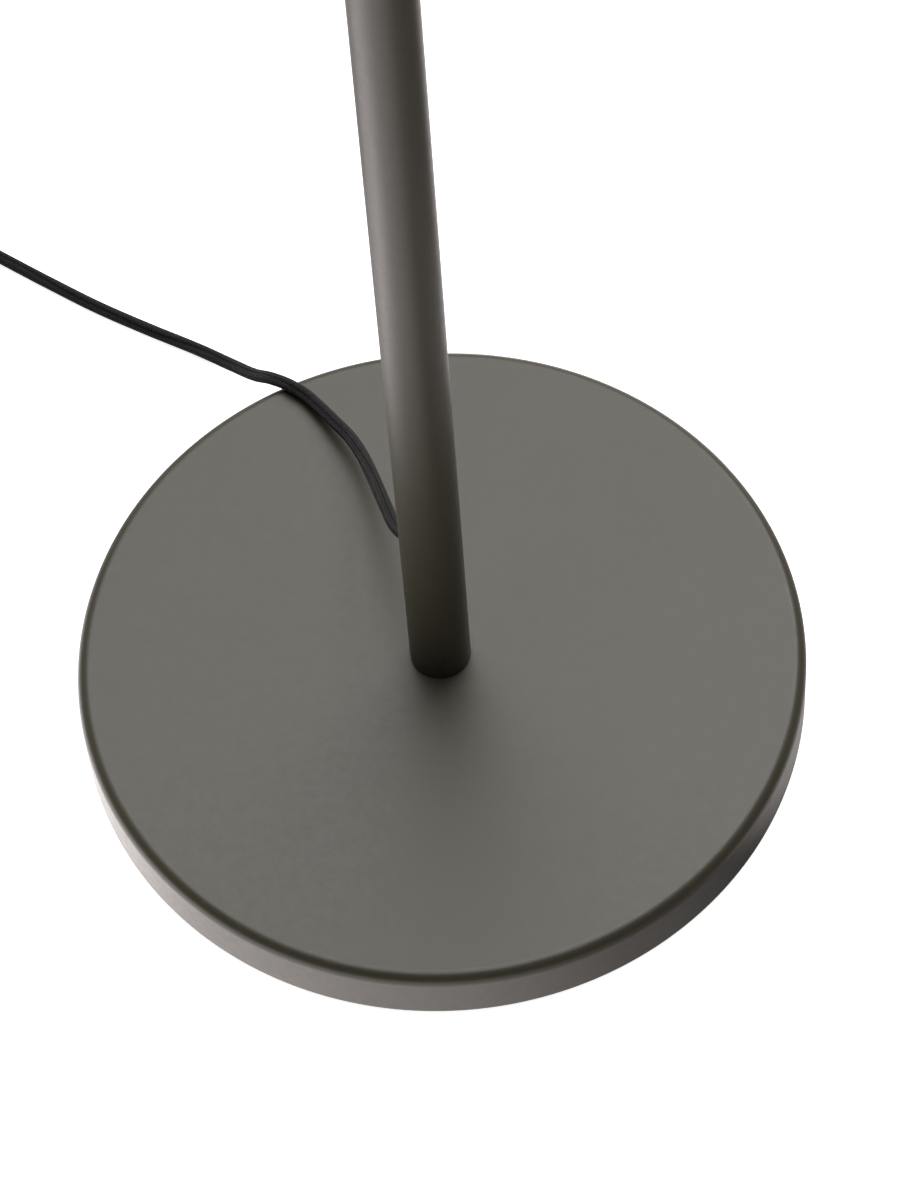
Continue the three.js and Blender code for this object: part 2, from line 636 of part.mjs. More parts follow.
add(head, "lamp_holder", revolve([
  [holderRadius, holderLow],
  [holderRadius, holderFlangeLow],
  [holderLip, holderFlangeLow],
  [holderLip, holderFlangeLow + holder.flangeHeight],
  [holderRadius, holderFlangeLow + holder.flangeHeight],
  [holderRadius, holderTop - 3],
  [holderRadius - 3, holderTop],
  [nippleBore, holderTop],
  [nippleBore, holderTop - holder.top],
  [holderBore, holderTop - holder.top],
  [holderBore, holderLow],
], 20), black);
const contactHigh = holderTop - holder.top - gap;
add(head, "centre_contact", rod(contact.radius, contactHigh - contact.height, contactHigh, 12), brass);

const ringBore = holderRadius + gap;
add(head, "shade", revolve([
  [shade.mouth, shadeTop - shade.height],
  ...quarter(shade.shoulder, shadeTop - shade.height,
    shade.mouth - shade.shoulder, shade.height, 9, 90, 6),
  [ringBore, shadeTop],
  [ringBore, shadeTop - shade.wall],
  ...quarter(shade.shoulder, shadeTop - shade.height,
    shade.mouth - shade.shoulder - shade.wall, shade.height - shade.wall, 90, 9, 6),
  [shade.mouth - shade.wall, shadeTop - shade.height],
], 32), coat);
const shadeRingHigh = shadeTop - shade.wall - gap;
add(head, "shade_ring",
  ring(shade.shoulder, ringBore, shadeRingHigh - shadeRing.height, shadeRingHigh, 20), black);

const capTip = contactHigh - contact.height - gap;
const capLow = capTip - bulb.capHeight;
const neckLow = holderLow - gap;
const bulbNeck = bulb.capRadius - bulb.capWall - gap;
const neckAngle = Math.acos(bulbNeck / bulb.globe) / turn;
const globeMiddle = neckLow - Math.sqrt(bulb.globe ** 2 - bulbNeck ** 2);
const neckInner = bulbNeck - bulb.wall;
const globeInner = bulb.globe - bulb.wall;
const innerAngle = Math.acos(neckInner / globeInner) / turn;
add(head, "bulb_cap", revolve([
  [bulb.capRadius, capLow],
  [bulb.capRadius, capTip - 4],
  [4, capTip],
  [0, capTip],
  [0, capTip - 1.5],
  [3.5, capTip - 1.5],
  [bulb.capRadius - bulb.capWall, capTip - 5.5],
  [bulb.capRadius - bulb.capWall, capLow],
  [bulb.capRadius, capLow],
], 16), brass);
add(head, "bulb_globe", revolve([
  ...quarter(0, globeMiddle, bulb.globe, bulb.globe, -90, neckAngle, 6),
  [bulbNeck, capLow + bulb.tuck],
  [neckInner, capLow + bulb.tuck],
  ...quarter(0, globeMiddle, globeInner, globeInner, innerAngle, -90, 6),
], 16), opal);

// ---------- cord on the floor ----------
add(stand, "cord_lead", bar(leadRoute, cord.radius, 30, 8), textile);
const coilInner = coil.innerTurn - cord.radius;
const coilOuter = coil.innerTurn + coil.turns * coil.turnSpacing + cord.radius;
const coilHeight = 2 * cord.radius + (coil.layers - 1) * coil.rise;
const coilMesh = add(stand, "cord_coil", ring(coilOuter, coilInner, 0.1, coilHeight + 0.1, 32), textile);
coilMesh.position.set(coil.x, coil.y, 0);
add(stand, "cord_tail", bar(tailRoute, cord.radius, 12, 8), textile);

// The plug lies flat beside the coil with its pins towards -Y.
const plugGroup = new THREE.Group();
plugGroup.position.set(plug.x, plug.y, plug.thickness / 2);
stand.add(plugGroup);
const plugOutline = new THREE.Shape();
const halfWide = plug.width / 2;
const halfLong = plug.length / 2;
plugOutline.moveTo(-halfWide, -halfLong);
plugOutline.lineTo(halfWide, -halfLong);
plugOutline.lineTo(halfWide, halfLong - plug.taper);
plugOutline.lineTo(plug.collar, halfLong);
plugOutline.lineTo(-plug.collar, halfLong);
plugOutline.lineTo(-halfWide, halfLong - plug.taper);
plugOutline.closePath();
const pinHole = (side) => alongY(rod(pin.radius + gap, -halfLong - 1, -halfLong + plug.socketDepth, 10))
  .translate((side * pin.spacing) / 2, 0, 0);
add(plugGroup, "plug_body", cut(
  new THREE.ExtrudeGeometry(plugOutline, { depth: plug.thickness, bevelEnabled: false })
    .translate(0, 0, -plug.thickness / 2),
  pinHole(-1),
  pinHole(1),
), black);
for (const [name, side] of [["plug_pin_left", -1], ["plug_pin_right", 1]]) {
  const pinShape = alongY(rod(pin.radius, -halfLong - pin.length, -halfLong + plug.socketDepth - gap, 10));
  add(plugGroup, name, pinShape, brass).position.x = (side * pin.spacing) / 2;
}

export default stand;
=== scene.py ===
"""The finished surfaces of an adjustable arm floor lamp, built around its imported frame.

Shapes are written in millimetres in the frame's own axes: +Z up the pole, +X along the arm.
"""

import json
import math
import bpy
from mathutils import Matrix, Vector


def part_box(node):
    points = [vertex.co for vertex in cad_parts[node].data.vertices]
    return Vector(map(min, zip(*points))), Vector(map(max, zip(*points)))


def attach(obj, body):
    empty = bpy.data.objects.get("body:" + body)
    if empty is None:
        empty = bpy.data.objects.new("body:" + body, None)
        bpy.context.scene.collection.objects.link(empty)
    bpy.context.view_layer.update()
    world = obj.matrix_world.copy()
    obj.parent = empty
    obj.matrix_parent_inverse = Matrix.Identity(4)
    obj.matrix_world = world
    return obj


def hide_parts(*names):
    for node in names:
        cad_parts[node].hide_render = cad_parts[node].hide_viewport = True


bl_info = {
    "name": "Adjustable Arm Floor Lamp",
    "version": (1, 0, 0),
    "blender": (4, 5, 0),
    "location": "3D View > Sidebar > Floor Lamp",
    "description": "Builds a floor lamp with a disc base, friction joints, a domed shade and a textile lead",
    "category": "Add Mesh",
}

import bmesh
import bpy
import numpy as np
import openvdb
from bpy.props import FloatProperty, FloatVectorProperty, IntProperty, PointerProperty
from mathutils import Matrix, Vector

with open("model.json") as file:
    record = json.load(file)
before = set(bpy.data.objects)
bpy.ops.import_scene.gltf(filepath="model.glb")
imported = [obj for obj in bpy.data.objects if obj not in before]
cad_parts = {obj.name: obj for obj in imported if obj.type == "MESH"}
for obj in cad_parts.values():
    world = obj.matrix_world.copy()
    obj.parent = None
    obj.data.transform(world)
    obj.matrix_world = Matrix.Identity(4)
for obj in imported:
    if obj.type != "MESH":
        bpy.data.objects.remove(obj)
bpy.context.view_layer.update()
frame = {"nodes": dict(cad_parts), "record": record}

MM = 0.001
GAP = 0.3  # clearance between pieces that seat on each other
# Where each hinge turns, in millimetres.
PIVOTS = {
    joint["name"]: tuple(round(value / MM, 6) for value in joint["pos_m"])
    for joint in frame["record"]["behaviour"]["joints"] if joint["type"] == "hinge"
}


# ---------- small helpers ----------
def linear(hex_colour):
    """An sRGB hex colour as linear red, green, blue and alpha."""
    channels = [int(hex_colour[i : i + 2], 16) / 255 for i in (1, 3, 5)]
    bent = [c / 12.92 if c <= 0.04045 else ((c + 0.055) / 1.055) ** 2.4 for c in channels]
    return (*bent, 1.0)


def box_mm(node):
    """A frame node's lowest and highest corner, in millimetres."""
    low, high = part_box(node)
    return low / MM, high / MM


def add(tree, kind, settings=None, inputs=None):
    """Adds one node, sets its options, and sets or links each input that is given."""
    made = tree.nodes.new(kind)
    for name, value in (settings or {}).items():
        setattr(made, name, value)
    for key, value in (inputs or {}).items():
        if isinstance(value, bpy.types.NodeSocket):
            tree.links.new(value, made.inputs[key])
        else:
            made.inputs[key].default_value = value
    return made


# ---------- the lamp's own sizes and colours ----------
class BaseSettings(bpy.types.PropertyGroup):
    edge: FloatProperty(
        name="Edge radius", description="Radius rolled along the disc's upper edge",
        default=5 * MM, min=0.5 * MM, unit="LENGTH", subtype="DISTANCE")
    wall: FloatProperty(
        name="Cover wall", description="Thickness of the pressed steel cover",
        default=2 * MM, min=0.5 * MM, unit="LENGTH", subtype="DISTANCE")
    bolt_hole: FloatProperty(
        name="Bolt hole", description="Radius of the hole under the pole",
        default=5.3 * MM, min=1 * MM, unit="LENGTH", subtype="DISTANCE")


class TubeSettings(bpy.types.PropertyGroup):
    pole_wall: FloatProperty(
        name="Pole wall", description="Wall of the pole's two tubes",
        default=1.5 * MM, min=0.5 * MM, unit="LENGTH", subtype="DISTANCE")
    arm_wall: FloatProperty(
        name="Arm wall", description="Wall of the arm's tube",
        default=1.2 * MM, min=0.5 * MM, unit="LENGTH", subtype="DISTANCE")
    cut_edge: FloatProperty(
        name="Cut edge", description="Radius of the coat over each sawn tube end",
        default=0.35 * MM, min=0.05 * MM, unit="LENGTH", subtype="DISTANCE")


class JointSettings(bpy.types.PropertyGroup):
    cast_edge: FloatProperty(
        name="Cast edge", description="Radius on the edges of the cast forks and knuckles",
        default=0.7 * MM, min=0.2 * MM, unit="LENGTH", subtype="DISTANCE")
    pitch: FloatProperty(
        name="Casting detail", description="Spacing of the grid that the castings are sampled on",
        default=0.4 * MM, min=0.2 * MM, unit="LENGTH", subtype="DISTANCE")
    flutes: IntProperty(name="Knob flutes", description="Finger grooves around the knob", default=12, min=3)
    flute_depth: FloatProperty(
        name="Flute depth", description="How far each finger groove goes in",
        default=1.3 * MM, min=0.1 * MM, unit="LENGTH", subtype="DISTANCE")


class HeadSettings(bpy.types.PropertyGroup):
    shade_wall: FloatProperty(
        name="Shade wall", description="Wall of the spun shade",
        default=1.2 * MM, min=0.4 * MM, unit="LENGTH", subtype="DISTANCE")
    shoulder: FloatProperty(
        name="Shade shoulder", description="Radius of the flat on top of the shade",
        default=25 * MM, min=20 * MM, unit="LENGTH", subtype="DISTANCE")
    bead: FloatProperty(
        name="Mouth bead", description="Radius of the bead rolled inwards around the shade's mouth",
        default=1.5 * MM, min=0.7 * MM, unit="LENGTH", subtype="DISTANCE")
    ribs: IntProperty(name="Ring ribs", description="Grip ribs around the shade ring", default=30, min=6)


class LeadSettings(bpy.types.PropertyGroup):
    length: FloatProperty(
        name="Lead length", description="Whole length of the free lead",
        default=2.2, min=0.5, unit="LENGTH", subtype="DISTANCE")
    diameter: FloatProperty(
        name="Lead diameter", description="Width of the textile lead",
        default=5.5 * MM, min=3 * MM, unit="LENGTH", subtype="DISTANCE")
    groove: FloatProperty(
        name="Groove",
        description="Depth of the valley between the lead's two cores, as a share of its radius",
        default=0.3, min=0.0, max=0.5, subtype="FACTOR")
    turns: IntProperty(
        name="Coil turns", description="Turns in each of the coil's two layers", default=4, min=1)


class ColourSettings(bpy.types.PropertyGroup):
    coat: FloatVectorProperty(
        name="Powder coat", description="Warm grey of the coated metal",
        default=linear("#423F32")[:3], size=3, min=0, max=1, subtype="COLOR")
    enamel: FloatVectorProperty(
        name="Enamel", description="White inside the shade",
        default=linear("#EFEDE6")[:3], size=3, min=0, max=1, subtype="COLOR")
    # Lit and shaded tones of one black yarn: painted light on the braid's crests and painted shade in the
    # gaps between strands.
    braid_lit_crest: FloatVectorProperty(
        name="Braid light", description="Yarn where the braid stands proud",
        default=linear("#322E2F")[:3], size=3, min=0, max=1, subtype="COLOR")
    braid_shaded_gap: FloatVectorProperty(
        name="Braid dark", description="Yarn between the strands",
        default=linear("#040303")[:3], size=3, min=0, max=1, subtype="COLOR")


class StageSettings(bpy.types.PropertyGroup):
    lens: FloatProperty(
        name="Lens", description="Camera focal length in millimetres", default=139.14, min=10)
    elevation: FloatProperty(
        name="Elevation", description="How far above the horizon the camera stands",
        default=math.radians(59.143), subtype="ANGLE")
    roll: FloatProperty(
        name="Roll", description="How far the camera is tipped to its side",
        default=math.radians(-4.781), subtype="ANGLE")
    distance: FloatProperty(
        name="Distance", description="From the camera to its target",
        default=1.8696, min=0.1, unit="LENGTH", subtype="DISTANCE")
    target: FloatVectorProperty(
        name="Target", description="The point that the camera looks at",
        default=(0.00568, 0, 0.06911), size=3, unit="LENGTH", subtype="TRANSLATION")
    key: FloatProperty(
        name="Key light", description="Power of the key at the back right, in watts", default=7)
    back: FloatProperty(
        name="Back light", description="Power of the wide light behind, in watts", default=60)
    top: FloatProperty(
        name="Top light", description="Power of the light straight above, in watts", default=26)


class FloorLampSettings(bpy.types.PropertyGroup):
    base: PointerProperty(type=BaseSettings)
    tubes: PointerProperty(type=TubeSettings)
    joints: PointerProperty(type=JointSettings)
    head: PointerProperty(type=HeadSettings)
    lead: PointerProperty(type=LeadSettings)
    colours: PointerProperty(type=ColourSettings)
    stage: PointerProperty(type=StageSettings)


# ---------- mesh work ----------
def new_piece(name, vertices, faces, material, crease=32):
    """A mesh object with its vertices given in millimetres, smooth up to the crease angle."""
    mesh = bpy.data.meshes.new(name)
    mesh.from_pydata([Vector(v) * MM for v in vertices], [], faces)
    shell = bmesh.new()
    shell.from_mesh(mesh)
    bmesh.ops.recalc_face_normals(shell, faces=shell.faces)
    shell.to_mesh(mesh)
    shell.free()
    mesh.materials.append(material)
    piece = bpy.data.objects.new(name, mesh)
    bpy.context.scene.collection.objects.link(piece)
    smooth(piece, crease)
    return piece


def smooth(piece, crease=32):
    """Shades a piece smooth, with a sharp edge wherever it turns by more than the crease angle."""
    piece.data.shade_smooth()
    piece.data.set_sharp_from_angle(angle=math.radians(crease))


def moved(piece, matrix):
    """Puts a piece in place through its mesh. The matrix is in millimetres."""
    metres = matrix.copy()
    metres.translation = matrix.translation * MM
    piece.data.transform(metres)
    if metres.determinant() < 0:
        piece.data.flip_normals()
    return piece


def settle(piece):
    """Takes what the modifiers make as the piece's own plain mesh."""
    bpy.context.view_layer.update()
    evaluated = piece.evaluated_get(bpy.context.evaluated_depsgraph_get())
    mesh = bpy.data.meshes.new_from_object(evaluated)
    piece.modifiers.clear()
    piece.data = mesh
    return piece


def joined(name, pieces):
    """One object from several, under a new name."""
    shell = bmesh.new()
    for piece in pieces:
        shell.from_mesh(piece.data)
    mesh = bpy.data.meshes.new(name)
    shell.to_mesh(mesh)
    shell.free()
    mesh.materials.append(pieces[0].data.materials[0])
    for piece in pieces:
        bpy.data.objects.remove(piece)
    whole = bpy.data.objects.new(name, mesh)
    bpy.context.scene.collection.objects.link(whole)
    return whole


def rounded(corners, steps=5):
    """A closed outline of [radius, height] points. A corner's third number is the radius of its arc."""
    outline = []
    for i, corner in enumerate(corners):
        here = Vector(corner[:2])
        if len(corner) < 3:
            outline.append(tuple(here))
            continue
        back = Vector(corners[i - 1][:2]) - here
        ahead = Vector(corners[(i + 1) % len(corners)][:2]) - here
        half = back.angle(ahead) / 2
        reach = corner[2] / math.tan(half)
        middle = here + (back.normalized() + ahead.normalized()).normalized() * corner[2] / math.sin(half)
        first = here + back.normalized() * reach - middle
        last = here + ahead.normalized() * reach - middle
        swing = first.angle_signed(last)
        guard = min(0.35, (back.length - reach) / 3, (ahead.length - reach) / 3)
        outline.append(tuple(here + back.normalized() * (reach + guard)))
        for k in range(steps + 1):
            angle = -swing * k / steps
            spoke = Vector((
                first.x * math.cos(angle) - first.y * math.sin(angle),
                first.x * math.sin(angle) + first.y * math.cos(angle),
            ))
            outline.append(tuple(middle + spoke))
        outline.append(tuple(here + ahead.normalized() * (reach + guard)))
    return outline


def hexagon(radius, angle):
    """The radius of a hexagon, measured to its corners, at an angle from its centre."""
    side = math.pi / 3
    return radius * math.cos(side / 2) / math.cos((angle % side) - side / 2)


def turned(name, outline, material, sides=96, crease=32):
    """A solid of revolution about Z. An outline point is [radius, height] or [radius, height, "hexagon"]."""
    vertices = []
    rings = []
    for point in outline:
        if point[0] < 1e-6:
            rings.append([len(vertices)] * sides)
            vertices.append((0, 0, point[1]))
            continue
        rings.append(range(len(vertices), len(vertices) + sides))
        for k in range(sides):
            angle = 2 * math.pi * k / sides
            radius = hexagon(point[0], angle) if len(point) > 2 else point[0]
            vertices.append((radius * math.cos(angle), radius * math.sin(angle), point[1]))
    faces = []
    for a, b in zip(rings, rings[1:] + rings[:1]):
        for k in range(sides):
            corners = [a[k], a[(k + 1) % sides], b[(k + 1) % sides], b[k]]
            corners = list(dict.fromkeys(corners))
            if len(corners) > 2:
                faces.append(corners)
    return new_piece(name, vertices, faces, material, crease)


def pierced(piece, *tools):
    """Cuts each tool's shape out of a piece, and removes the tools."""
    for tool in tools:
        cut = piece.modifiers.new("Cut", "BOOLEAN")
        cut.object = tool
        cut.operation = "DIFFERENCE"
        cut.solver = "EXACT"
    settle(piece)
    for tool in tools:
        bpy.data.objects.remove(tool)
    smooth(piece)
    return piece


def drill(radius, low, high, matrix, sides=40):
    """A plain rod to cut a hole with, along Z before the matrix places it."""
    rod = turned("drill", [(0, low), (radius, low), (radius, high), (0, high)], finish("steel"), sides)
    return moved(rod, matrix)


def along(direction, place=(0, 0, 0)):
    """A matrix that turns Z towards a direction and moves to a place."""
    turn = Vector((0, 0, 1)).rotation_difference(Vector(direction))
    return Matrix.Translation(place) @ turn.to_matrix().to_4x4()


def put(piece, body, slot, *nodes):
    """The piece rides on a body and stands for the nodes, which are hidden. The slot is not used."""
    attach(piece, body)
    if nodes:
        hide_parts(*nodes)
    return piece


# ---------- castings, as distance fields ----------
def blended(a, b, radius):
    """Joins two distance fields with a fillet."""
    overlap = np.maximum(radius - np.abs(a - b), 0) / radius
    return np.minimum(a, b) - overlap * overlap * radius / 4


def both(a, b, radius):
    """What two distance fields share, with its new edge rounded."""
    return -blended(-a, -b, radius)


def drum(u, v, w, radius, low, high, edge):
    """A cylinder along w with rounded rims."""
    across = np.hypot(u, v) - radius + edge
    length = np.abs(w - (low + high) / 2) - (high - low) / 2 + edge
    outside = np.hypot(np.maximum(across, 0), np.maximum(length, 0))
    return np.minimum(np.maximum(across, length), 0) + outside - edge


def cast(name, field, low, high, pitch, material):
    """A closed surface where the field is zero. Its vertices are drawn onto the field's true surface."""
    low = np.array(low, float)
    counts = np.ceil((np.array(high, float) - low) / pitch).astype(int) + 1
    axes = [low[i] + pitch * np.arange(counts[i]) for i in range(3)]
    x, y, z = np.meshgrid(*axes, indexing="ij", sparse=True)
    grid = openvdb.FloatGrid(pitch)
    grid.copyFromArray(np.broadcast_to(field(x, y, z), counts).astype(np.float32))
    points, quads = grid.convertToQuads()
    points = low + points.astype(float) * pitch
    step = pitch * 0.05
    for _ in range(3):
        here = field(*points.T)
        slope = np.stack([(field(*(points + d).T) - here) / step for d in np.eye(3) * step], 1)
        size = np.maximum((slope * slope).sum(1), 0.2)
        pull = np.clip(here / size, -pitch / 2, pitch / 2)
        points -= slope * pull[:, None]
    return new_piece(name, points, quads.tolist(), material, 50)


# ---------- Geometry Nodes ----------
def new_tree(name, sockets):
    """An empty geometry tree with its group nodes, and the identifier of each named input."""
    tree = bpy.data.node_groups.new(name, "GeometryNodeTree")
    tree.is_modifier = True
    tree.interface.new_socket(name="Geometry", in_out="OUTPUT", socket_type="NodeSocketGeometry")
    names = {}
    for label, kind in sockets:
        socket = tree.interface.new_socket(name=label, in_out="INPUT", socket_type=kind)
        names[label] = socket.identifier
    return tree, tree.nodes.new("NodeGroupInput").outputs, names


def end_tree(tree, geometry, material):
    """Ends a tree in Realize Instances and Set Material."""
    real = add(tree, "GeometryNodeRealizeInstances", inputs={"Geometry": geometry})
    painted = add(tree, "GeometryNodeSetMaterial", inputs={
        "Geometry": real.outputs[0], "Material": material,
    })
    add(tree, "NodeGroupOutput", inputs={"Geometry": painted.outputs[0]})


def run_tree(piece, made, values):
    """Runs a geometry tree on a piece with the named values, and keeps its result as a plain mesh."""
    tree, names = made
    modifier = piece.modifiers.new(tree.name, "NODES")
    modifier.node_group = tree
    for label, value in values.items():
        modifier[names[label]] = value
    settle(piece)
    smooth(piece, 40)
    return piece


def relief_tree():
    """Presses waves into a turned piece: flutes around it, grooves along it, or both as a thread."""
    tree, given, names = new_tree("Pressed relief", [
        ("Geometry", "NodeSocketGeometry"), ("Around", "NodeSocketFloat"), ("Pitch", "NodeSocketFloat"),
        ("Depth", "NodeSocketFloat"), ("Width", "NodeSocketFloat"), ("Low", "NodeSocketFloat"),
        ("High", "NodeSocketFloat"), ("Fade", "NodeSocketFloat"), ("Material", "NodeSocketMaterial"),
    ])

    def maths(operation, a, b=0.0):
        return add(tree, "ShaderNodeMath", {"operation": operation}, {0: a, 1: b}).outputs[0]

    place = add(tree, "GeometryNodeInputPosition").outputs[0]
    xyz = add(tree, "ShaderNodeSeparateXYZ", inputs={0: place}).outputs
    turn = maths("MULTIPLY", maths("ARCTAN2", xyz[1], xyz[0]), given["Around"])
    climb = maths("DIVIDE", maths("MULTIPLY", xyz[2], math.tau), given["Pitch"])
    wave = maths("MULTIPLY_ADD", maths("COSINE", maths("ADD", turn, climb)), 0.5)
    wave.node.inputs[2].default_value = 0.5
    groove = maths("POWER", wave, given["Width"])
    fades = []
    for near, far in (("Low", "ADD"), ("High", "SUBTRACT")):
        fade = add(tree, "ShaderNodeMapRange", {"interpolation_type": "SMOOTHSTEP"}, {
            "Value": xyz[2],
            "From Min": given[near],
            "From Max": maths(far, given[near], given["Fade"]),
        })
        fades.append(fade.outputs[0])
    depth = maths("MULTIPLY", maths("MULTIPLY", groove, given["Depth"]), maths("MULTIPLY", *fades))
    flat = add(tree, "ShaderNodeCombineXYZ", inputs={0: xyz[0], 1: xyz[1]}).outputs[0]
    spoke = add(tree, "ShaderNodeVectorMath", {"operation": "NORMALIZE"}, {0: flat}).outputs[0]
    push = add(tree, "ShaderNodeVectorMath", {"operation": "SCALE"}, {0: spoke})
    tree.links.new(maths("MULTIPLY", depth, -1.0), push.inputs["Scale"])
    pressed = add(tree, "GeometryNodeSetPosition", inputs={
        "Geometry": given["Geometry"], "Offset": push.outputs[0],
    })
    end_tree(tree, pressed.outputs[0], given["Material"])
    return tree, names


def copies_tree():
    """Copies the piece around the Z axis, the first one where it stands."""
    tree, given, names = new_tree("Copies around an axis", [
        ("Geometry", "NodeSocketGeometry"), ("Count", "NodeSocketInt"), ("Material", "NodeSocketMaterial"),
    ])
    stack = add(tree, "GeometryNodeMeshLine", inputs={"Count": given["Count"], "Offset": (0, 0, 0)})
    index = add(tree, "GeometryNodeInputIndex").outputs[0]
    step = add(tree, "ShaderNodeMath", {"operation": "DIVIDE"}, {0: math.tau, 1: given["Count"]}).outputs[0]
    angle = add(tree, "ShaderNodeMath", {"operation": "MULTIPLY"}, {0: index, 1: step}).outputs[0]
    turn = add(tree, "ShaderNodeCombineXYZ", inputs={2: angle}).outputs[0]
    set_out = add(tree, "GeometryNodeInstanceOnPoints", inputs={
        "Points": stack.outputs[0], "Instance": given["Geometry"], "Rotation": turn,
    })
    end_tree(tree, set_out.outputs[0], given["Material"])
    return tree, names


def row_tree():
    """Sets copies of the piece in a straight row along Y, centred on the origin."""
    tree, given, names = new_tree("Row of copies", [
        ("Geometry", "NodeSocketGeometry"), ("Count", "NodeSocketInt"), ("Spacing", "NodeSocketFloat"),
        ("Material", "NodeSocketMaterial"),
    ])
    step = add(tree, "ShaderNodeCombineXYZ", inputs={1: given["Spacing"]}).outputs[0]
    line = add(tree, "GeometryNodeMeshLine", inputs={"Count": given["Count"], "Offset": step}).outputs[0]
    last = add(tree, "ShaderNodeMath", {"operation": "SUBTRACT"}, {0: given["Count"], 1: 1.0}).outputs[0]
    half = add(tree, "ShaderNodeMath", {"operation": "MULTIPLY"}, {0: last, 1: -0.5}).outputs[0]
    back = add(tree, "ShaderNodeVectorMath", {"operation": "SCALE"}, {0: step})
    tree.links.new(half, back.inputs["Scale"])
    centred = add(tree, "GeometryNodeSetPosition", inputs={"Geometry": line, "Offset": back.outputs[0]})
    set_out = add(tree, "GeometryNodeInstanceOnPoints", inputs={
        "Points": centred.outputs[0], "Instance": given["Geometry"],
    })
    end_tree(tree, set_out.outputs[0], given["Material"])
    return tree, names


# ---------- finishes ----------
def surface(name):
    """A new material with its tree, its shader and the object's own coordinates in millimetres."""
    material = bpy.data.materials.new(name)
    material.use_nodes = True
    tree = material.node_tree
    shader = tree.nodes["Principled BSDF"]
    coordinates = add(tree, "ShaderNodeTexCoord").outputs["Object"]
    place = add(tree, "ShaderNodeVectorMath", {"operation": "SCALE"}, {0: coordinates})
    place.inputs["Scale"].default_value = 1 / MM
    return material, tree, shader, place.outputs[0]


def grain(tree, place, size_mm, detail=3.0, roughness=0.5):
    """Soft noise whose spots are about the given size across, from 0 to 1."""
    return add(tree, "ShaderNodeTexNoise", inputs={
        "Vector": place, "Scale": 1 / size_mm, "Detail": detail, "Roughness": roughness,
    }).outputs["Fac"]


def spread(tree, value, low, high):
    """Maps the middle of a noise onto a range."""
    return add(tree, "ShaderNodeMapRange", inputs={
        "Value": value, "From Min": 0.3, "From Max": 0.7, "To Min": low, "To Max": high,
    }).outputs[0]


def tinted(tree, value, dark, light):
    """A colour between two, by a value from 0 to 1."""
    return add(tree, "ShaderNodeMix", {"data_type": "RGBA"}, {0: value, 6: dark, 7: light}).outputs[2]


def bumped(tree, shader, layers):
    """Stacks bumps: each layer is a height from 0 to 1 and its depth in millimetres."""
    normal = None
    for height, depth_mm in layers:
        inputs = {"Height": height, "Distance": depth_mm * MM, "Strength": 1.0}
        if normal:
            inputs["Normal"] = normal
        normal = add(tree, "ShaderNodeBump", inputs=inputs).outputs[0]
    tree.links.new(normal, shader.inputs["Normal"])


def shifted(colour, factor):
    """A colour made a little lighter or darker."""
    return (*[min(1.0, c * factor) for c in colour[:3]], 1.0)


def powder_coat():
    """Fine matt polyester powder on metal: a soft sheen, slight orange peel and a tight grain."""
    material, tree, shader, place = surface("Powder-coated metal, warm grey")
    colour = bpy.context.scene.floor_lamp.colours.coat
    cloud = grain(tree, place, 60, 2)
    speck = grain(tree, place, 0.5, 2)
    tone = tinted(tree, spread(tree, cloud, 0, 1), shifted(colour, 0.965), shifted(colour, 1.035))
    fine = tinted(tree, spread(tree, speck, 0, 1), (0.94, 0.94, 0.94, 1), (1.05, 1.05, 1.05, 1))
    mixed = add(tree, "ShaderNodeMix", {"data_type": "RGBA", "blend_type": "MULTIPLY"},
                {0: 1.0, 6: tone, 7: fine}).outputs[2]
    tree.links.new(mixed, shader.inputs["Base Color"])
    tree.links.new(spread(tree, grain(tree, place, 3, 3), 0.34, 0.4), shader.inputs["Roughness"])
    bumped(tree, shader, [(grain(tree, place, 1.6, 1), 0.006), (grain(tree, place, 0.35, 2), 0.004)])
    return material


def enamel():
    """Baked white enamel inside the shade: glossier than the coat, with a faint run in it."""
    material, tree, shader, place = surface("White stove enamel")
    colour = bpy.context.scene.floor_lamp.colours.enamel
    cloud = spread(tree, grain(tree, place, 25, 2), 0, 1)
    tone = tinted(tree, cloud, shifted(colour, 0.97), shifted(colour, 1.0))
    tree.links.new(tone, shader.inputs["Base Color"])
    tree.links.new(spread(tree, grain(tree, place, 6, 2), 0.28, 0.36), shader.inputs["Roughness"])
    bumped(tree, shader, [(grain(tree, place, 4, 1), 0.01)])
    return material


def zinc_steel():
    """Zinc-plated steel: a pale metal with a faint crystalline mottle and drawn marks."""
    material, tree, shader, place = surface("Zinc-plated steel")
    crystals = add(tree, "ShaderNodeTexVoronoi", inputs={"Vector": place, "Scale": 1 / 1.2})
    mottle = crystals.outputs["Distance"]
    tone = tinted(tree, mottle, linear("#9C9C98"), linear("#C6C5C0"))
    tree.links.new(tone, shader.inputs["Base Color"])
    tree.links.new(spread(tree, grain(tree, place, 0.8, 3), 0.26, 0.42), shader.inputs["Roughness"])
    shader.inputs["Metallic"].default_value = 1.0
    bumped(tree, shader, [(grain(tree, place, 0.5, 3), 0.003)])
    return material


def brass():
    """Plain brass, slightly dulled, with fine handling scratches."""
    material, tree, shader, place = surface("Brass")
    tone = tinted(tree, spread(tree, grain(tree, place, 3, 3), 0, 1), linear("#B08D4E"), linear("#D2B26E"))
    tree.links.new(tone, shader.inputs["Base Color"])
    tree.links.new(spread(tree, grain(tree, place, 1, 3), 0.22, 0.4), shader.inputs["Roughness"])
    shader.inputs["Metallic"].default_value = 1.0
    bumped(tree, shader, [(grain(tree, place, 0.4, 2), 0.002)])
    return material


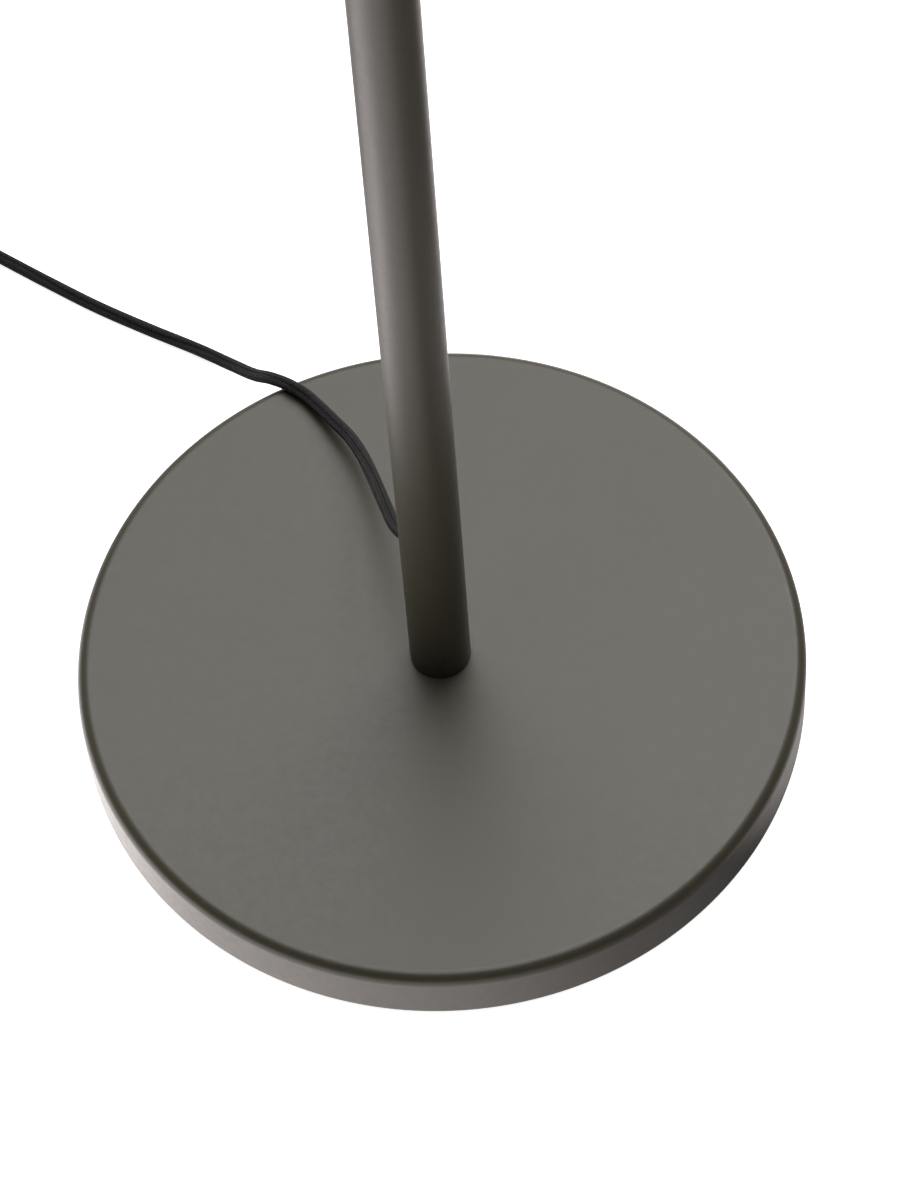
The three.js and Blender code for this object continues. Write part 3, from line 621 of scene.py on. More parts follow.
def nylon():
    """Natural nylon: milky, slightly waxy, with light passing a little way in."""
    material, tree, shader, place = surface("Natural nylon")
    tone = tinted(tree, spread(tree, grain(tree, place, 5, 2), 0, 1), linear("#D3CEBF"), linear("#E4E0D4"))
    tree.links.new(tone, shader.inputs["Base Color"])
    tree.links.new(spread(tree, grain(tree, place, 1, 2), 0.4, 0.5), shader.inputs["Roughness"])
    shader.inputs["Subsurface Weight"].default_value = 0.15
    shader.inputs["Subsurface Scale"].default_value = 1.5 * MM
    shader.inputs["IOR"].default_value = 1.53
    bumped(tree, shader, [(grain(tree, place, 0.6, 2), 0.004)])
    return material


def black_plastic():
    """Moulded black plastic with a fine spark-eroded texture."""
    material, tree, shader, place = surface("Moulded black plastic")
    tone = tinted(tree, spread(tree, grain(tree, place, 0.7, 3), 0, 1), linear("#1B1A1A"), linear("#2A2928"))
    tree.links.new(tone, shader.inputs["Base Color"])
    tree.links.new(spread(tree, grain(tree, place, 4, 2), 0.42, 0.54), shader.inputs["Roughness"])
    shader.inputs["IOR"].default_value = 1.52
    bumped(tree, shader, [(grain(tree, place, 0.45, 2), 0.012)])
    return material


def cast_iron():
    """Sand-cast iron: dark, rough and pitted."""
    material, tree, shader, place = surface("Cast iron")
    tone = tinted(tree, spread(tree, grain(tree, place, 4, 4), 0, 1), linear("#32302E"), linear("#55524F"))
    tree.links.new(tone, shader.inputs["Base Color"])
    tree.links.new(spread(tree, grain(tree, place, 2, 3), 0.62, 0.85), shader.inputs["Roughness"])
    shader.inputs["Metallic"].default_value = 0.6
    pits = add(tree, "ShaderNodeTexVoronoi", inputs={"Vector": place, "Scale": 1 / 1.8}).outputs["Distance"]
    bumped(tree, shader, [(grain(tree, place, 2, 4), 0.12), (pits, 0.05)])
    return material


def foam():
    """Closed-cell foam: near black, dead matt, with small cells."""
    material, tree, shader, place = surface("Closed-cell foam")
    cells = add(tree, "ShaderNodeTexVoronoi", inputs={"Vector": place, "Scale": 1 / 0.8}).outputs["Distance"]
    tree.links.new(tinted(tree, cells, linear("#171717"), linear("#2B2A29")), shader.inputs["Base Color"])
    tree.links.new(spread(tree, grain(tree, place, 2, 2), 0.88, 0.97), shader.inputs["Roughness"])
    bumped(tree, shader, [(cells, 0.15)])
    return material


def opal_glass():
    """Opal glass: white through its depth, with a glossy outside."""
    material, tree, shader, place = surface("Opal glass")
    tone = tinted(tree, spread(tree, grain(tree, place, 12, 2), 0, 1), linear("#F2EFE6"), linear("#FAF8F1"))
    tree.links.new(tone, shader.inputs["Base Color"])
    tree.links.new(spread(tree, grain(tree, place, 10, 2), 0.1, 0.16), shader.inputs["Roughness"])
    shader.inputs["Subsurface Weight"].default_value = 0.4
    shader.inputs["Subsurface Scale"].default_value = 4 * MM
    shader.inputs["IOR"].default_value = 1.5
    bumped(tree, shader, [(grain(tree, place, 15, 1), 0.02)])
    return material


def braided_textile():
    """Braided polyester over two cores: matt crossing strands, with a soft nap that catches the light. Its
    colour holds painted light on the strands' crests and painted shade in the gaps, under crossing strands
    and along the valley between the cores.

    The UV map runs in millimetres along the lead and in whole turns around it.
    """
    material, tree, shader, _ = surface("Braided black textile")
    colours = bpy.context.scene.floor_lamp.colours
    strands = 12
    lay_mm = 17.0  # length in which a strand goes once around
    girth_mm = 17.0  # the lead's way around
    valley_narrowness, valley_painted_shade = 24.0, 0.75  # how narrow the line between the cores is, and how dark the painted shade along it is
    uv = add(tree, "ShaderNodeUVMap", {"uv_map": "UVMap"}).outputs[0]
    uv = add(tree, "ShaderNodeSeparateXYZ", inputs={0: uv}).outputs

    def maths(operation, a, b=0.0, c=0.0):
        return add(tree, "ShaderNodeMath", {"operation": operation}, {0: a, 1: b, 2: c}).outputs[0]

    length = maths("MULTIPLY", uv[0], strands / lay_mm)
    around = maths("MULTIPLY", uv[1], float(strands))
    phases = [maths("ADD", length, around), maths("SUBTRACT", length, around)]
    crests = [maths("ABSOLUTE", maths("SINE", maths("MULTIPLY", p, math.pi))) for p in phases]
    cells = maths("ADD", maths("FLOOR", phases[0]), maths("FLOOR", phases[1]))
    over = maths("FLOORED_MODULO", cells, 2.0)
    under = maths("SUBTRACT", 1.0, over)
    # Painted shade: a strand that passes under another is drawn at half brightness, and each strand darkens
    # from its crest into the gaps.
    first = maths("MULTIPLY", crests[0], maths("MULTIPLY_ADD", over, 0.5, 0.5))
    second = maths("MULTIPLY", crests[1], maths("MULTIPLY_ADD", under, 0.5, 0.5))
    weave = maths("MAXIMUM", first, second)
    around_mm = maths("MULTIPLY", uv[1], girth_mm)
    spot = add(tree, "ShaderNodeCombineXYZ", inputs={0: uv[0], 1: around_mm}).outputs[0]
    fuzz = add(tree, "ShaderNodeTexNoise", inputs={"Vector": spot, "Scale": 1.6, "Detail": 3.0})
    nap = fuzz.outputs["Fac"]
    # Painted shade: the colour darkens along the two valleys between the cores, where the groove lies in
    # shade.
    beside = maths("ABSOLUTE", maths("COSINE", maths("MULTIPLY", uv[1], math.tau)))
    valley = maths("POWER", beside, valley_narrowness)
    painted_valley_shading = maths("MULTIPLY_ADD", valley, -valley_painted_shade, 1.0)
    strand_tone = maths("MULTIPLY", weave, spread(tree, nap, 0.45, 1.3))
    tone = maths("MULTIPLY", strand_tone, painted_valley_shading)
    # Mixes the shaded and the lit tone of the same yarn: painted shade and painted light, with the random
    # nap.
    tree.links.new(
        tinted(tree, tone, (*colours.braid_shaded_gap, 1), (*colours.braid_lit_crest, 1)), shader.inputs["Base Color"])
    shader.inputs["Roughness"].default_value = 0.88
    shader.inputs["Specular IOR Level"].default_value = 0.25
    shader.inputs["Sheen Weight"].default_value = 0.08
    shader.inputs["Sheen Roughness"].default_value = 0.45
    bumped(tree, shader, [(weave, 0.45), (nap, 0.15)])
    return material


def rubber_sheath():
    """The plain sheath of the lead inside the lamp: soft black rubber, with the faint lay of its cores."""
    material, tree, shader, place = surface("Black rubber sheath")
    lay = add(tree, "ShaderNodeTexWave", inputs={"Vector": place, "Scale": 0.12, "Distortion": 2.0})
    tone = tinted(tree, lay.outputs["Fac"], linear("#181716"), linear("#242322"))
    tree.links.new(tone, shader.inputs["Base Color"])
    tree.links.new(spread(tree, grain(tree, place, 1, 2), 0.6, 0.72), shader.inputs["Roughness"])
    bumped(tree, shader, [(grain(tree, place, 0.6, 2), 0.02)])
    return material


FINISHES = {
    "coat": (powder_coat, "powder_coated_steel"),
    "aluminium": (powder_coat, "powder_coated_aluminium"),
    "enamel": (enamel, "powder_coated_aluminium"),
    "steel": (zinc_steel, "zinc_plated_steel"),
    "brass": (brass, "brass"),
    "nylon": (nylon, "nylon"),
    "black": (black_plastic, "black_plastic"),
    "iron": (cast_iron, "cast_iron"),
    "foam": (foam, "pad_foam"),
    "braid": (braided_textile, "textile_cord"),
    "sheath": (rubber_sheath, "textile_cord"),
    "opal": (opal_glass, "opal_glass"),
}
MADE = {}


def finish(name):
    """The material of a finish, made the first time that it is asked for."""
    make = FINISHES[name][0]
    if make not in MADE:
        MADE[make] = make()
    return MADE[make]


def slot_of(name):
    """The record's slot for a finish."""
    return FINISHES[name][1]


# ---------- the lead ----------
# The lead's way from the pole to the coil and from the coil to the plug, in metres.
LEAD_ROUTE = [
    (-0.0094, 0.0259, 0.0761), (-0.0119, 0.0316, 0.0732), (-0.0146, 0.0385, 0.0690),
    (-0.0168, 0.0477, 0.0649), (-0.0195, 0.0605, 0.0588), (-0.0224, 0.0743, 0.0518),
    (-0.0261, 0.0890, 0.0448), (-0.0307, 0.1014, 0.0396), (-0.0367, 0.1121, 0.0358),
    (-0.0428, 0.1218, 0.0333), (-0.0488, 0.1299, 0.0319), (-0.0550, 0.1354, 0.0313),
    (-0.0616, 0.1411, 0.0283), (-0.0696, 0.1503, 0.0188), (-0.0794, 0.1629, 0.0088),
    (-0.0940, 0.1760, 0.0035), (-0.1154, 0.1893, 0.0029), (-0.1369, 0.2030, 0.0029),
    (-0.1585, 0.2186, 0.0029), (-0.1803, 0.2350, 0.0029), (-0.1904, 0.2426, 0.0029),
]
TAIL_ROUTE = [
    (-0.2795, 0.1981, 0.0076), (-0.2796, 0.1880, 0.0063), (-0.2792, 0.1750, 0.0043),
    (-0.2780, 0.1610, 0.0032), (-0.2760, 0.1450, 0.0029), (-0.2735, 0.1290, 0.0029),
    (-0.2710, 0.1130, 0.0030), (-0.2692, 0.0990, 0.0040), (-0.2683, 0.0870, 0.0060),
    (-0.2680, 0.0770, 0.0073), (-0.2680, 0.0713, 0.0075),
]
OUTLET_TURN = math.radians(20)
OUTLET_DIP = math.radians(18)
OUTLET_HEIGHT = 81
OUTLET_REACH = 15.5


def outlet_place():
    """The outlet's own frame: +Z along the lead as it leaves the back of the pole."""
    radius = box_mm("lower_pole")[1].x
    sine, cosine = math.sin(OUTLET_TURN), math.cos(OUTLET_TURN)
    direction = (-sine * math.cos(OUTLET_DIP), cosine * math.cos(OUTLET_DIP), -math.sin(OUTLET_DIP))
    return along(direction, (-radius * sine, radius * cosine, OUTLET_HEIGHT))


def coil_points(diameter, turns):
    """Two layers of turns: inwards along the floor, up at the middle, and outwards on top."""
    low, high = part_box("cord_coil")
    centre = (low + high) / 2
    outer = (high.x - low.x) / 2 - diameter / 2
    inner = outer - turns * diameter
    floor = low.z + diameter / 2
    step = high.z - low.z - diameter
    start = math.acos(0.6)  # where the lead comes in along the coil's rim
    climb = math.pi - start
    sweep = math.tau * turns
    points = []
    for k in range(turns * 48 + 1):
        share = k / (turns * 48)
        points.append((start + sweep * share, outer + (inner - outer) * share, floor))
    for k in range(1, 16):
        share = k / 16
        ease = share * share * (3 - 2 * share)
        points.append((start + climb * share, inner, floor + step * ease))
    for k in range(turns * 48 + 1):
        share = k / (turns * 48)
        points.append((math.pi + sweep * share, inner + (outer - inner) * share, floor + step))
    return [
        Vector((centre.x + r * math.cos(a), centre.y + r * math.sin(a), z)) for a, r, z in points
    ]


def even_path(points, spacing):
    """A smooth curve through the points, cut into even steps."""
    chords = [(q - p).length for p, q in zip(points, points[1:])]
    slopes = [(q - p) / h for p, q, h in zip(points, points[1:], chords)]
    tangents = [slopes[0]]
    for a, b, before, after in zip(slopes, slopes[1:], chords, chords[1:]):
        tangents.append((a * after + b * before) / (before + after))
    tangents.append(slopes[-1])
    dense = []
    for p, q, start, end, h in zip(points, points[1:], tangents, tangents[1:], chords):
        count = max(2, int(h / 0.0005))
        for k in range(count):
            t = k / count
            s = 1 - t
            dense.append(
                p * (1 + 2 * t) * s * s + start * h * t * s * s
                + q * t * t * (3 - 2 * t) - end * h * t * t * s
            )
    dense.append(points[-1])
    spots = np.array([tuple(p) for p in dense])
    lengths = np.concatenate([[0], np.cumsum(np.linalg.norm(np.diff(spots, axis=0), axis=1))])
    steps = max(2, round(lengths[-1] / spacing))
    goals = np.linspace(0, lengths[-1], steps + 1)
    return np.stack([np.interp(goals, lengths, spots[:, i]) for i in range(3)], 1)


def lead_mesh(name, path, radius, groove, material, around=24):
    """A two-cored lead along the path: a round section with a valley on the side that faces up."""
    tangents = np.gradient(path, axis=0)
    tangents /= np.linalg.norm(tangents, axis=1)[:, None]
    upward = np.array([0.0, -0.45, 0.9])
    top = upward - tangents * (tangents @ upward)[:, None]
    top /= np.linalg.norm(top, axis=1)[:, None]
    side = np.cross(tangents, top)
    walked = np.concatenate([[0], np.cumsum(np.linalg.norm(np.diff(path, axis=0), axis=1))])
    sway = 0.22 * np.sin(walked * math.tau / 0.13) + 0.1 * np.sin(walked * math.tau / 0.047 + 1)
    angles = np.arange(around) * math.tau / around
    valley = np.exp(-((np.abs(np.abs(angles - math.pi) - math.pi / 2) - math.pi / 2) / 0.3) ** 2)
    reach = radius * (1 - groove * valley)
    vertices = []
    for centre, up, out, lean in zip(path, top, side, sway):
        spin = angles + lean
        ring = centre + reach[:, None] * (
            np.cos(spin)[:, None] * up + np.sin(spin)[:, None] * out
        )
        vertices.extend(ring / MM)
    faces = []
    rows = len(path)
    for i in range(rows - 1):
        for k in range(around):
            n = (k + 1) % around
            faces.append((i * around + k, i * around + n, (i + 1) * around + n, (i + 1) * around + k))
    for row, centre in ((0, path[0]), (rows - 1, path[-1])):
        vertices.append(centre / MM)
        for k in range(around):
            faces.append((row * around + k, row * around + (k + 1) % around, len(vertices) - 1))
    piece = new_piece(name, [tuple(v) for v in vertices], faces, material, 80)
    layer = piece.data.uv_layers.new(name="UVMap")
    for polygon in piece.data.polygons:
        marks = [piece.data.loops[i].vertex_index for i in polygon.loop_indices]
        wraps = any(m % around == around - 1 for m in marks) and any(m % around == 0 for m in marks)
        for loop, mark in zip(polygon.loop_indices, marks):
            if mark >= rows * around:
                row, spoke = (0 if mark == rows * around else rows - 1), 0
            else:
                row, spoke = divmod(mark, around)
            turn_share = spoke / around + (1 if wraps and spoke == 0 else 0)
            layer.data[loop].uv = (walked[row] / MM, turn_share)
    return piece


class FLOORLAMP_OT_stage(bpy.types.Operator):
    """Sets up the camera, the pale floor and the soft studio light"""

    bl_idname = "floor_lamp.stage"
    bl_label = "Stage"

    def execute(self, context):
        settings = context.scene.floor_lamp.stage
        self.camera(context, settings)
        self.floor()
        self.lights(settings)
        self.surroundings(context)
        context.scene.view_settings.view_transform = "Standard"
        return {"FINISHED"}

    def camera(self, context, settings):
        """Stands the camera above the front of the base, tipped a little to its side."""
        sine, cosine = math.sin(settings.elevation), math.cos(settings.elevation)
        back = Vector((0, -cosine, sine))
        right = Vector((1, 0, 0))
        up = Vector((0, sine, cosine))
        across = right * math.cos(settings.roll) + up * math.sin(settings.roll)
        upright = up * math.cos(settings.roll) - right * math.sin(settings.roll)
        turn = Matrix((across, upright, back)).transposed().to_4x4()
        eye = bpy.data.objects.new("camera", bpy.data.cameras.new("camera"))
        eye.matrix_world = Matrix.Translation(Vector(settings.target) + back * settings.distance) @ turn
        eye.data.lens = settings.lens
        eye.data.sensor_width = 36
        eye.data.clip_end = 60
        context.scene.collection.objects.link(eye)
        context.scene.camera = eye

    # Half of the light that the floor throws back, by its bearing from the front, in degrees to
    # the right, and how it evens out further away, in metres.
    glow_around = (
        (-180, 0.5), (-128, 0.36), (-92, 1.5), (-65, 1.35), (-45, 1.0), (-25, 0.9), (0, 0.66),
        (25, 0.27), (50, 0.09), (104, 0.07), (120, 0.12), (136, 0.58), (180, 0.5),
    )
    glow_evens_out = (0.5, 1.0)
    even_glow = 0.5
    # The bright strip close to the base's right edge: where it starts and is full across, where it
    # fades out and is full in distance, and how strong it is.
    strip_across = (0.12, 0.152)
    strip_away = (0.24, 0.18)
    strip_glow = 0.38

    def floor(self):
        """A sheet of white paper that glows with the light thrown on it, most of all to the left."""
        size, low = 9000, -0.02
        corners = [(-size, -size, low), (size, -size, low), (size, size, low), (-size, size, low)]
        material = bpy.data.materials.new("White seamless paper")
        material.use_nodes = True
        tree = material.node_tree
        tree.nodes.clear()
        place = add(tree, "ShaderNodeTexCoord").outputs["Object"]
        xyz = add(tree, "ShaderNodeSeparateXYZ", inputs={0: place}).outputs
        fibre = add(tree, "ShaderNodeTexNoise", inputs={"Vector": place, "Scale": 40.0, "Detail": 3.0})
        paper = add(tree, "ShaderNodeMix", {"data_type": "RGBA"}, {
            0: fibre.outputs["Fac"], 6: linear("#E9E9E8"), 7: linear("#EFEFEE"),
        })
        seen = add(tree, "ShaderNodeBsdfDiffuse", inputs={"Color": paper.outputs[2]})
        lift = add(tree, "ShaderNodeEmission", inputs={"Strength": 0.88})
        shown = add(tree, "ShaderNodeAddShader", inputs={0: seen.outputs[0], 1: lift.outputs[0]})
        forward = add(tree, "ShaderNodeMath", {"operation": "MULTIPLY"}, {0: xyz[1], 1: -1.0}).outputs[0]
        bearing = add(tree, "ShaderNodeMath", {"operation": "ARCTAN2"}, {0: xyz[0], 1: forward}).outputs[0]
        compass = add(tree, "ShaderNodeMapRange", inputs={
            "Value": bearing, "From Min": -math.pi, "From Max": math.pi,
        }).outputs[0]
        around = add(tree, "ShaderNodeValToRGB", inputs={0: compass})
        stops = around.color_ramp.elements
        for bearing_deg, level in self.glow_around:
            stop = stops.new((bearing_deg + 180) / 360)
            stop.color = (level, level, level, 1)
        stops.remove(stops[0])
        stops.remove(stops[-1])
        away = add(tree, "ShaderNodeVectorMath", {"operation": "LENGTH"}, {0: place}).outputs["Value"]
        far = add(tree, "ShaderNodeMapRange", {"interpolation_type": "SMOOTHSTEP"}, {
            "Value": away, "From Min": self.glow_evens_out[0], "From Max": self.glow_evens_out[1],
        }).outputs[0]
        level = add(tree, "ShaderNodeMix", {"data_type": "RGBA"}, {
            0: far, 6: around.outputs[0], 7: (*[self.even_glow] * 3, 1),
        }).outputs[2]
        beside = add(tree, "ShaderNodeMapRange", {"interpolation_type": "SMOOTHSTEP"}, {
            "Value": xyz[0], "From Min": self.strip_across[0], "From Max": self.strip_across[1],
        }).outputs[0]
        near = add(tree, "ShaderNodeMapRange", {"interpolation_type": "SMOOTHSTEP"}, {
            "Value": away, "From Min": self.strip_away[0], "From Max": self.strip_away[1],
            "To Max": self.strip_glow,
        }).outputs[0]
        strip = add(tree, "ShaderNodeMath", {"operation": "MULTIPLY"}, {0: beside, 1: near}).outputs[0]
        level = add(tree, "ShaderNodeMath", {"operation": "ADD"}, {0: level, 1: strip}).outputs[0]
        strength = add(tree, "ShaderNodeMath", {"operation": "MULTIPLY"}, {0: level, 1: 2.0})
        glow = add(tree, "ShaderNodeEmission", inputs={
            "Color": linear("#FFF8F8"), "Strength": strength.outputs[0],
        })
        ray = add(tree, "ShaderNodeLightPath").outputs["Is Camera Ray"]
        both = add(tree, "ShaderNodeMixShader", inputs={0: ray, 1: glow.outputs[0], 2: shown.outputs[0]})
        add(tree, "ShaderNodeOutputMaterial", inputs={"Surface": both.outputs[0]})
        floor = new_piece("floor", corners, [(0, 1, 2, 3)], material)

    def lights(self, settings):
        """Wide soft lights behind and overhead, and a smaller one high at the back right."""
        lamps = [
            ("back", settings.back, (0.25, 1.6, 2.3), (0, 0, 0), 2.6),
            ("key", settings.key, (1.3, 1.5, 2.3), (0, 0, 0), 0.8),
            ("top", settings.top, (0, 0.1, 2.7), (0, 0.1, 0), 1.6),
        ]
        for name, power, place, aim, size in lamps:
            light = bpy.data.lights.new(name, "AREA")
            light.energy = power
            light.shape = "SQUARE"
            light.size = size
            lamp = bpy.data.objects.new(name, light)
            lamp.matrix_world = along(Vector(place) - Vector(aim), place)
            lamp.visible_camera = False
            bpy.context.scene.collection.objects.link(lamp)

    def surroundings(self, context):
        """Plain white past the floor's edge, and for the lamp a dim room, darkest towards the front."""
        world = bpy.data.worlds.new("Studio")
        world.use_nodes = True
        context.scene.world = world
        tree = world.node_tree
        tree.nodes.clear()
        toward = add(tree, "ShaderNodeTexCoord").outputs["Generated"]
        xyz = add(tree, "ShaderNodeSeparateXYZ", inputs={0: toward}).outputs
        room = add(tree, "ShaderNodeMapRange", inputs={
            "Value": xyz[1], "From Min": -0.2, "From Max": 0.9, "To Min": 0.0, "To Max": 0.3,
        })
        ray = add(tree, "ShaderNodeLightPath").outputs["Is Camera Ray"]
        strength = add(tree, "ShaderNodeMix", {"data_type": "FLOAT"}, {0: ray, 2: room.outputs[0], 3: 1.0})
        air = add(tree, "ShaderNodeBackground", inputs={
            "Color": linear("#FCFCFC"), "Strength": strength.outputs[0],
        })
        add(tree, "ShaderNodeOutputWorld", inputs={"Surface": air.outputs[0]})


class FLOORLAMP_OT_lead(bpy.types.Operator):
    """Builds the plug, the coil's tie, and the textile lead from the pole's outlet to the plug"""

    bl_idname = "floor_lamp.lead"
    bl_label = "Lead, tie and plug"

    def execute(self, context):
        settings = context.scene.floor_lamp.lead
        place = outlet_place()
        start = (place @ Vector((0, 0, OUTLET_REACH - GAP))) * MM
        leave = (place @ Vector((0, 0, OUTLET_REACH + 4))) * MM
        into_plug = Vector(TAIL_ROUTE[-1]) + Vector((0, -0.003, 0))
        points = [start, leave, *map(Vector, LEAD_ROUTE[1:])]
        points += coil_points(settings.diameter, settings.turns)
        points += [*map(Vector, TAIL_ROUTE), into_plug]
        path = even_path(points, 0.0018)
        lead = lead_mesh("textile_lead", path, settings.diameter / 2, settings.groove, finish("braid"))
        put(lead, "stand", slot_of("braid"), "cord_lead", "cord_coil", "cord_tail")
        goes_with = [self.tie(settings), self.plug(), *self.pins()]
        return {"FINISHED"}

    def tie(self, settings):
        """A soft strap once around the coil."""
        low, high = box_mm("cord_coil")
        outer = (high.x - low.x) / 2 + 0.7
        inner = (high.x - low.x) / 2 - (settings.turns + 1) * settings.diameter / MM - 0.7
        top = high.z + 0.7
        loops = []
        for inset, half in ((0, -4.5), (0, 4.5), (0.8, 4.5), (0.8, -4.5)):
            edge = rounded([
                (inner + inset, 0.05 + inset, 3 - inset), (outer - inset, 0.05 + inset, 3 - inset),
                (outer - inset, top - inset, 3 - inset), (inner + inset, top - inset, 3 - inset),
            ])
            loops.append([(r, half, z) for r, z in edge])
        count = len(loops[0])
        faces = []
        for a in range(4):
            b = (a + 1) % 4
            for k in range(count):
                n = (k + 1) % count
                faces.append((a * count + k, a * count + n, b * count + n, b * count + k))
        strap = new_piece("coil_strap", [v for loop in loops for v in loop], faces, finish("black"), 40)
        centre = (low + high) / 2
        spin = Matrix.Translation((centre.x, centre.y, 0)) @ Matrix.Rotation(math.radians(-40), 4, "Z")
        moved(strap, spin)
        return put(strap, "stand", slot_of("black"))

    def plug(self):
        """A moulded two-pin plug, flat and tapered to a collar, with the pins' sleeves and grip ridges."""
        low, high = box_mm("plug_body")
        centre = (low + high) / 2
        half_wide, half_long, half_thick = (high - low) / 2
        collar, taper, corner = 5.0, 22.0, 4.2

        def field(x, y, z):
            share = np.clip((y - half_long + taper) / taper, 0, 1)
            wide = half_wide - (half_wide - collar - 0.4) * share
            thick = half_thick - (half_thick - collar - 0.3) * share * share
            across, up = np.abs(x) - wide + corner, np.abs(z) - thick + corner
            body = np.hypot(np.maximum(across, 0), np.maximum(up, 0))
            body = body + np.minimum(np.maximum(across, up), 0) - corner
            body = both(body, np.abs(y) - half_long, 1.6)
            for side in (-9.5, 9.5):
                sleeve = drum(x - side, z, y, 1.98, -half_long - 9.5, 0, 0.3)
                body = np.minimum(body, sleeve)
                body = np.maximum(body, -drum(x - side, z, y, 1.7, -half_long - 12, -half_long + 8, 0.1))
            return np.maximum(body, -drum(x, z, y, 2.95, half_long - 4.5, half_long + 4, 0.1))

        reach = (half_wide + 1, half_long + 11, half_thick + 1)
        body = cast("moulded", field, [-r for r in reach], [half_wide + 1, half_long + 1, half_thick + 1],
                    0.42, finish("black"))
        ridge_outline = rounded([(0, -4.6), (0.75, -4.6, 0.7), (0.75, 4.6, 0.7), (0, 4.6)])
        bars = []
        for up in (-1, 1):
            bar = moved(turned("bar", ridge_outline, finish("black"), 16), along((1, 0, 0)))
            run_tree(bar, row_tree(), {"Count": 5, "Spacing": 2.7 * MM, "Material": finish("black")})
            bars.append(moved(bar, Matrix.Translation((0, 7.5, up * (half_thick - 0.8)))))
        whole = joined("moulded_plug", [body, *bars])
        smooth(whole, 50)
        moved(whole, Matrix.Translation(centre))
        return put(whole, "stand", slot_of("black"), "plug_body")

    def pins(self):
        """Two round brass pins with eased tips."""
        made = []
        for name, node in (("pin_first", "plug_pin_left"), ("pin_second", "plug_pin_right")):
            low, high = box_mm(node)
            middle = (low + high) / 2
            long = high.y - low.y
            outline = rounded([(0, 0), (1.62, 0, 0.2), (1.62, long, 1.2), (0, long)])
            root = (middle.x, high.y, middle.z)
            pin = moved(turned(name, outline, finish("brass"), 32), along((0, -1, 0), root))
            made.append(put(pin, "stand", slot_of("brass"), node))
        return made


class FLOORLAMP_OT_base(bpy.types.Operator):
    """Builds the pressed steel cover of the disc base"""

    bl_idname = "floor_lamp.base"
    bl_label = "Base"

    def execute(self, context):
        settings = context.scene.floor_lamp.base
        low, high = box_mm("base_cover")
        edge, wall = settings.edge / MM, settings.wall / MM
        hole = settings.bolt_hole / MM
        inner = high.x - wall
        ceiling = high.z - wall
        outline = rounded([
            (high.x, low.z, 0.4), (high.x, high.z, edge), (hole, high.z, 0.3),
            (hole, ceiling), (inner, ceiling, edge - wall), (inner, low.z, 0.3),
        ], 8)
        disc = turned("disc_cover", outline, finish("coat"), 256)
        put(disc, "stand", slot_of("coat"), "base_cover")
        return {"FINISHED"}


class FLOORLAMP_OT_pole(bpy.types.Operator):
    """Builds the pole's two tubes and the thin collar of the coupler between them"""

    bl_idname = "floor_lamp.pole"
    bl_label = "Pole"

    def execute(self, context):
        settings = context.scene.floor_lamp.tubes
        wall = settings.pole_wall / MM
        edge = settings.cut_edge / MM
        low, high = box_mm("lower_pole")
        anchor = (box_mm("anchor_screw")[0].z + box_mm("anchor_screw")[1].z) / 2
        stations = (70, 74, 88, 92, anchor - 4, anchor + 4, anchor + 12)
        lower = tube("lower_tube", high.x, high.x - wall, low.z, high.z, edge, stations)
        sleeve = drill(4.25, -4.1, 6, outlet_place())
        screw = drill(1.8, 9, 14, along((0, 1, 0), (0, 0, anchor)), 24)
        pierced(lower, sleeve, screw)
        put(lower, "stand", slot_of("coat"), "lower_pole")

        low, high = box_mm("upper_pole")
        stop = (box_mm("swivel_stop_screw")[0].z + box_mm("swivel_stop_screw")[1].z) / 2
        upper = tube("upper_tube", high.x, high.x - wall, low.z, high.z, edge, (stop - 5, stop + 5))
        pierced(upper, drill(1.8, 9, 14, along((-1, 0, 0), (0, 0, stop)), 24))
        put(upper, "stand", slot_of("coat"), "upper_pole")

        low, high = box_mm("pole_coupler")
        middle = (low.z + high.z) / 2
        inner = high.x - wall - GAP
        outline = rounded([
            (inner, low.z, 0.8), (inner, middle - 0.5), (high.x, middle - 0.5, 0.25),
            (high.x, middle + 0.5, 0.25), (inner, middle + 0.5), (inner, high.z, 0.8),
            (inner - 2.5, high.z, 0.4), (inner - 2.5, low.z, 0.4),
        ])
        put(turned("coupler_ring", outline, finish("coat")), "stand", slot_of("coat"), "pole_coupler")
        return {"FINISHED"}


def tube(name, outer, inner, low, high, edge, stations, sides=96):
    """A round tube with eased ends. The stations are extra rings beside its holes."""
    ends = rounded([
        (outer, low, edge), (outer, high, edge), (inner, high, edge / 2), (inner, low, edge / 2),
    ])
    half = len(ends) // 4
    outline = (
        ends[:half] + [(outer, s) for s in stations] + ends[half : 3 * half]
        + [(inner, s) for s in reversed(stations)] + ends[3 * half :]
    )
    return turned(name, outline, finish("coat"), sides)


def socket_screw(name, shank, head, low, seat, high, recess, material, sides=48):
    """A screw along Z: its shank, a rounded head and a hexagon recess."""
    ease = min(0.45 * (high - seat), head - recess * 1.35)
    deep = max(high - 1.5, (seat + high) / 2 if head > shank else high - 1.5)
    body = [(0, low), (shank, low, min(0.3, shank / 4))]
    if head > shank:
        body += [(shank, seat), (head, seat, 0.15), (head, high, ease)]
    else:
        body += [(shank, high, 0.25)]
    body += [(recess * 1.15, high)]
    outline = rounded(body) + [(recess, high - 0.1, "hexagon"), (recess, deep, "hexagon"), (0, deep)]
    return turned(name, outline, material, sides)


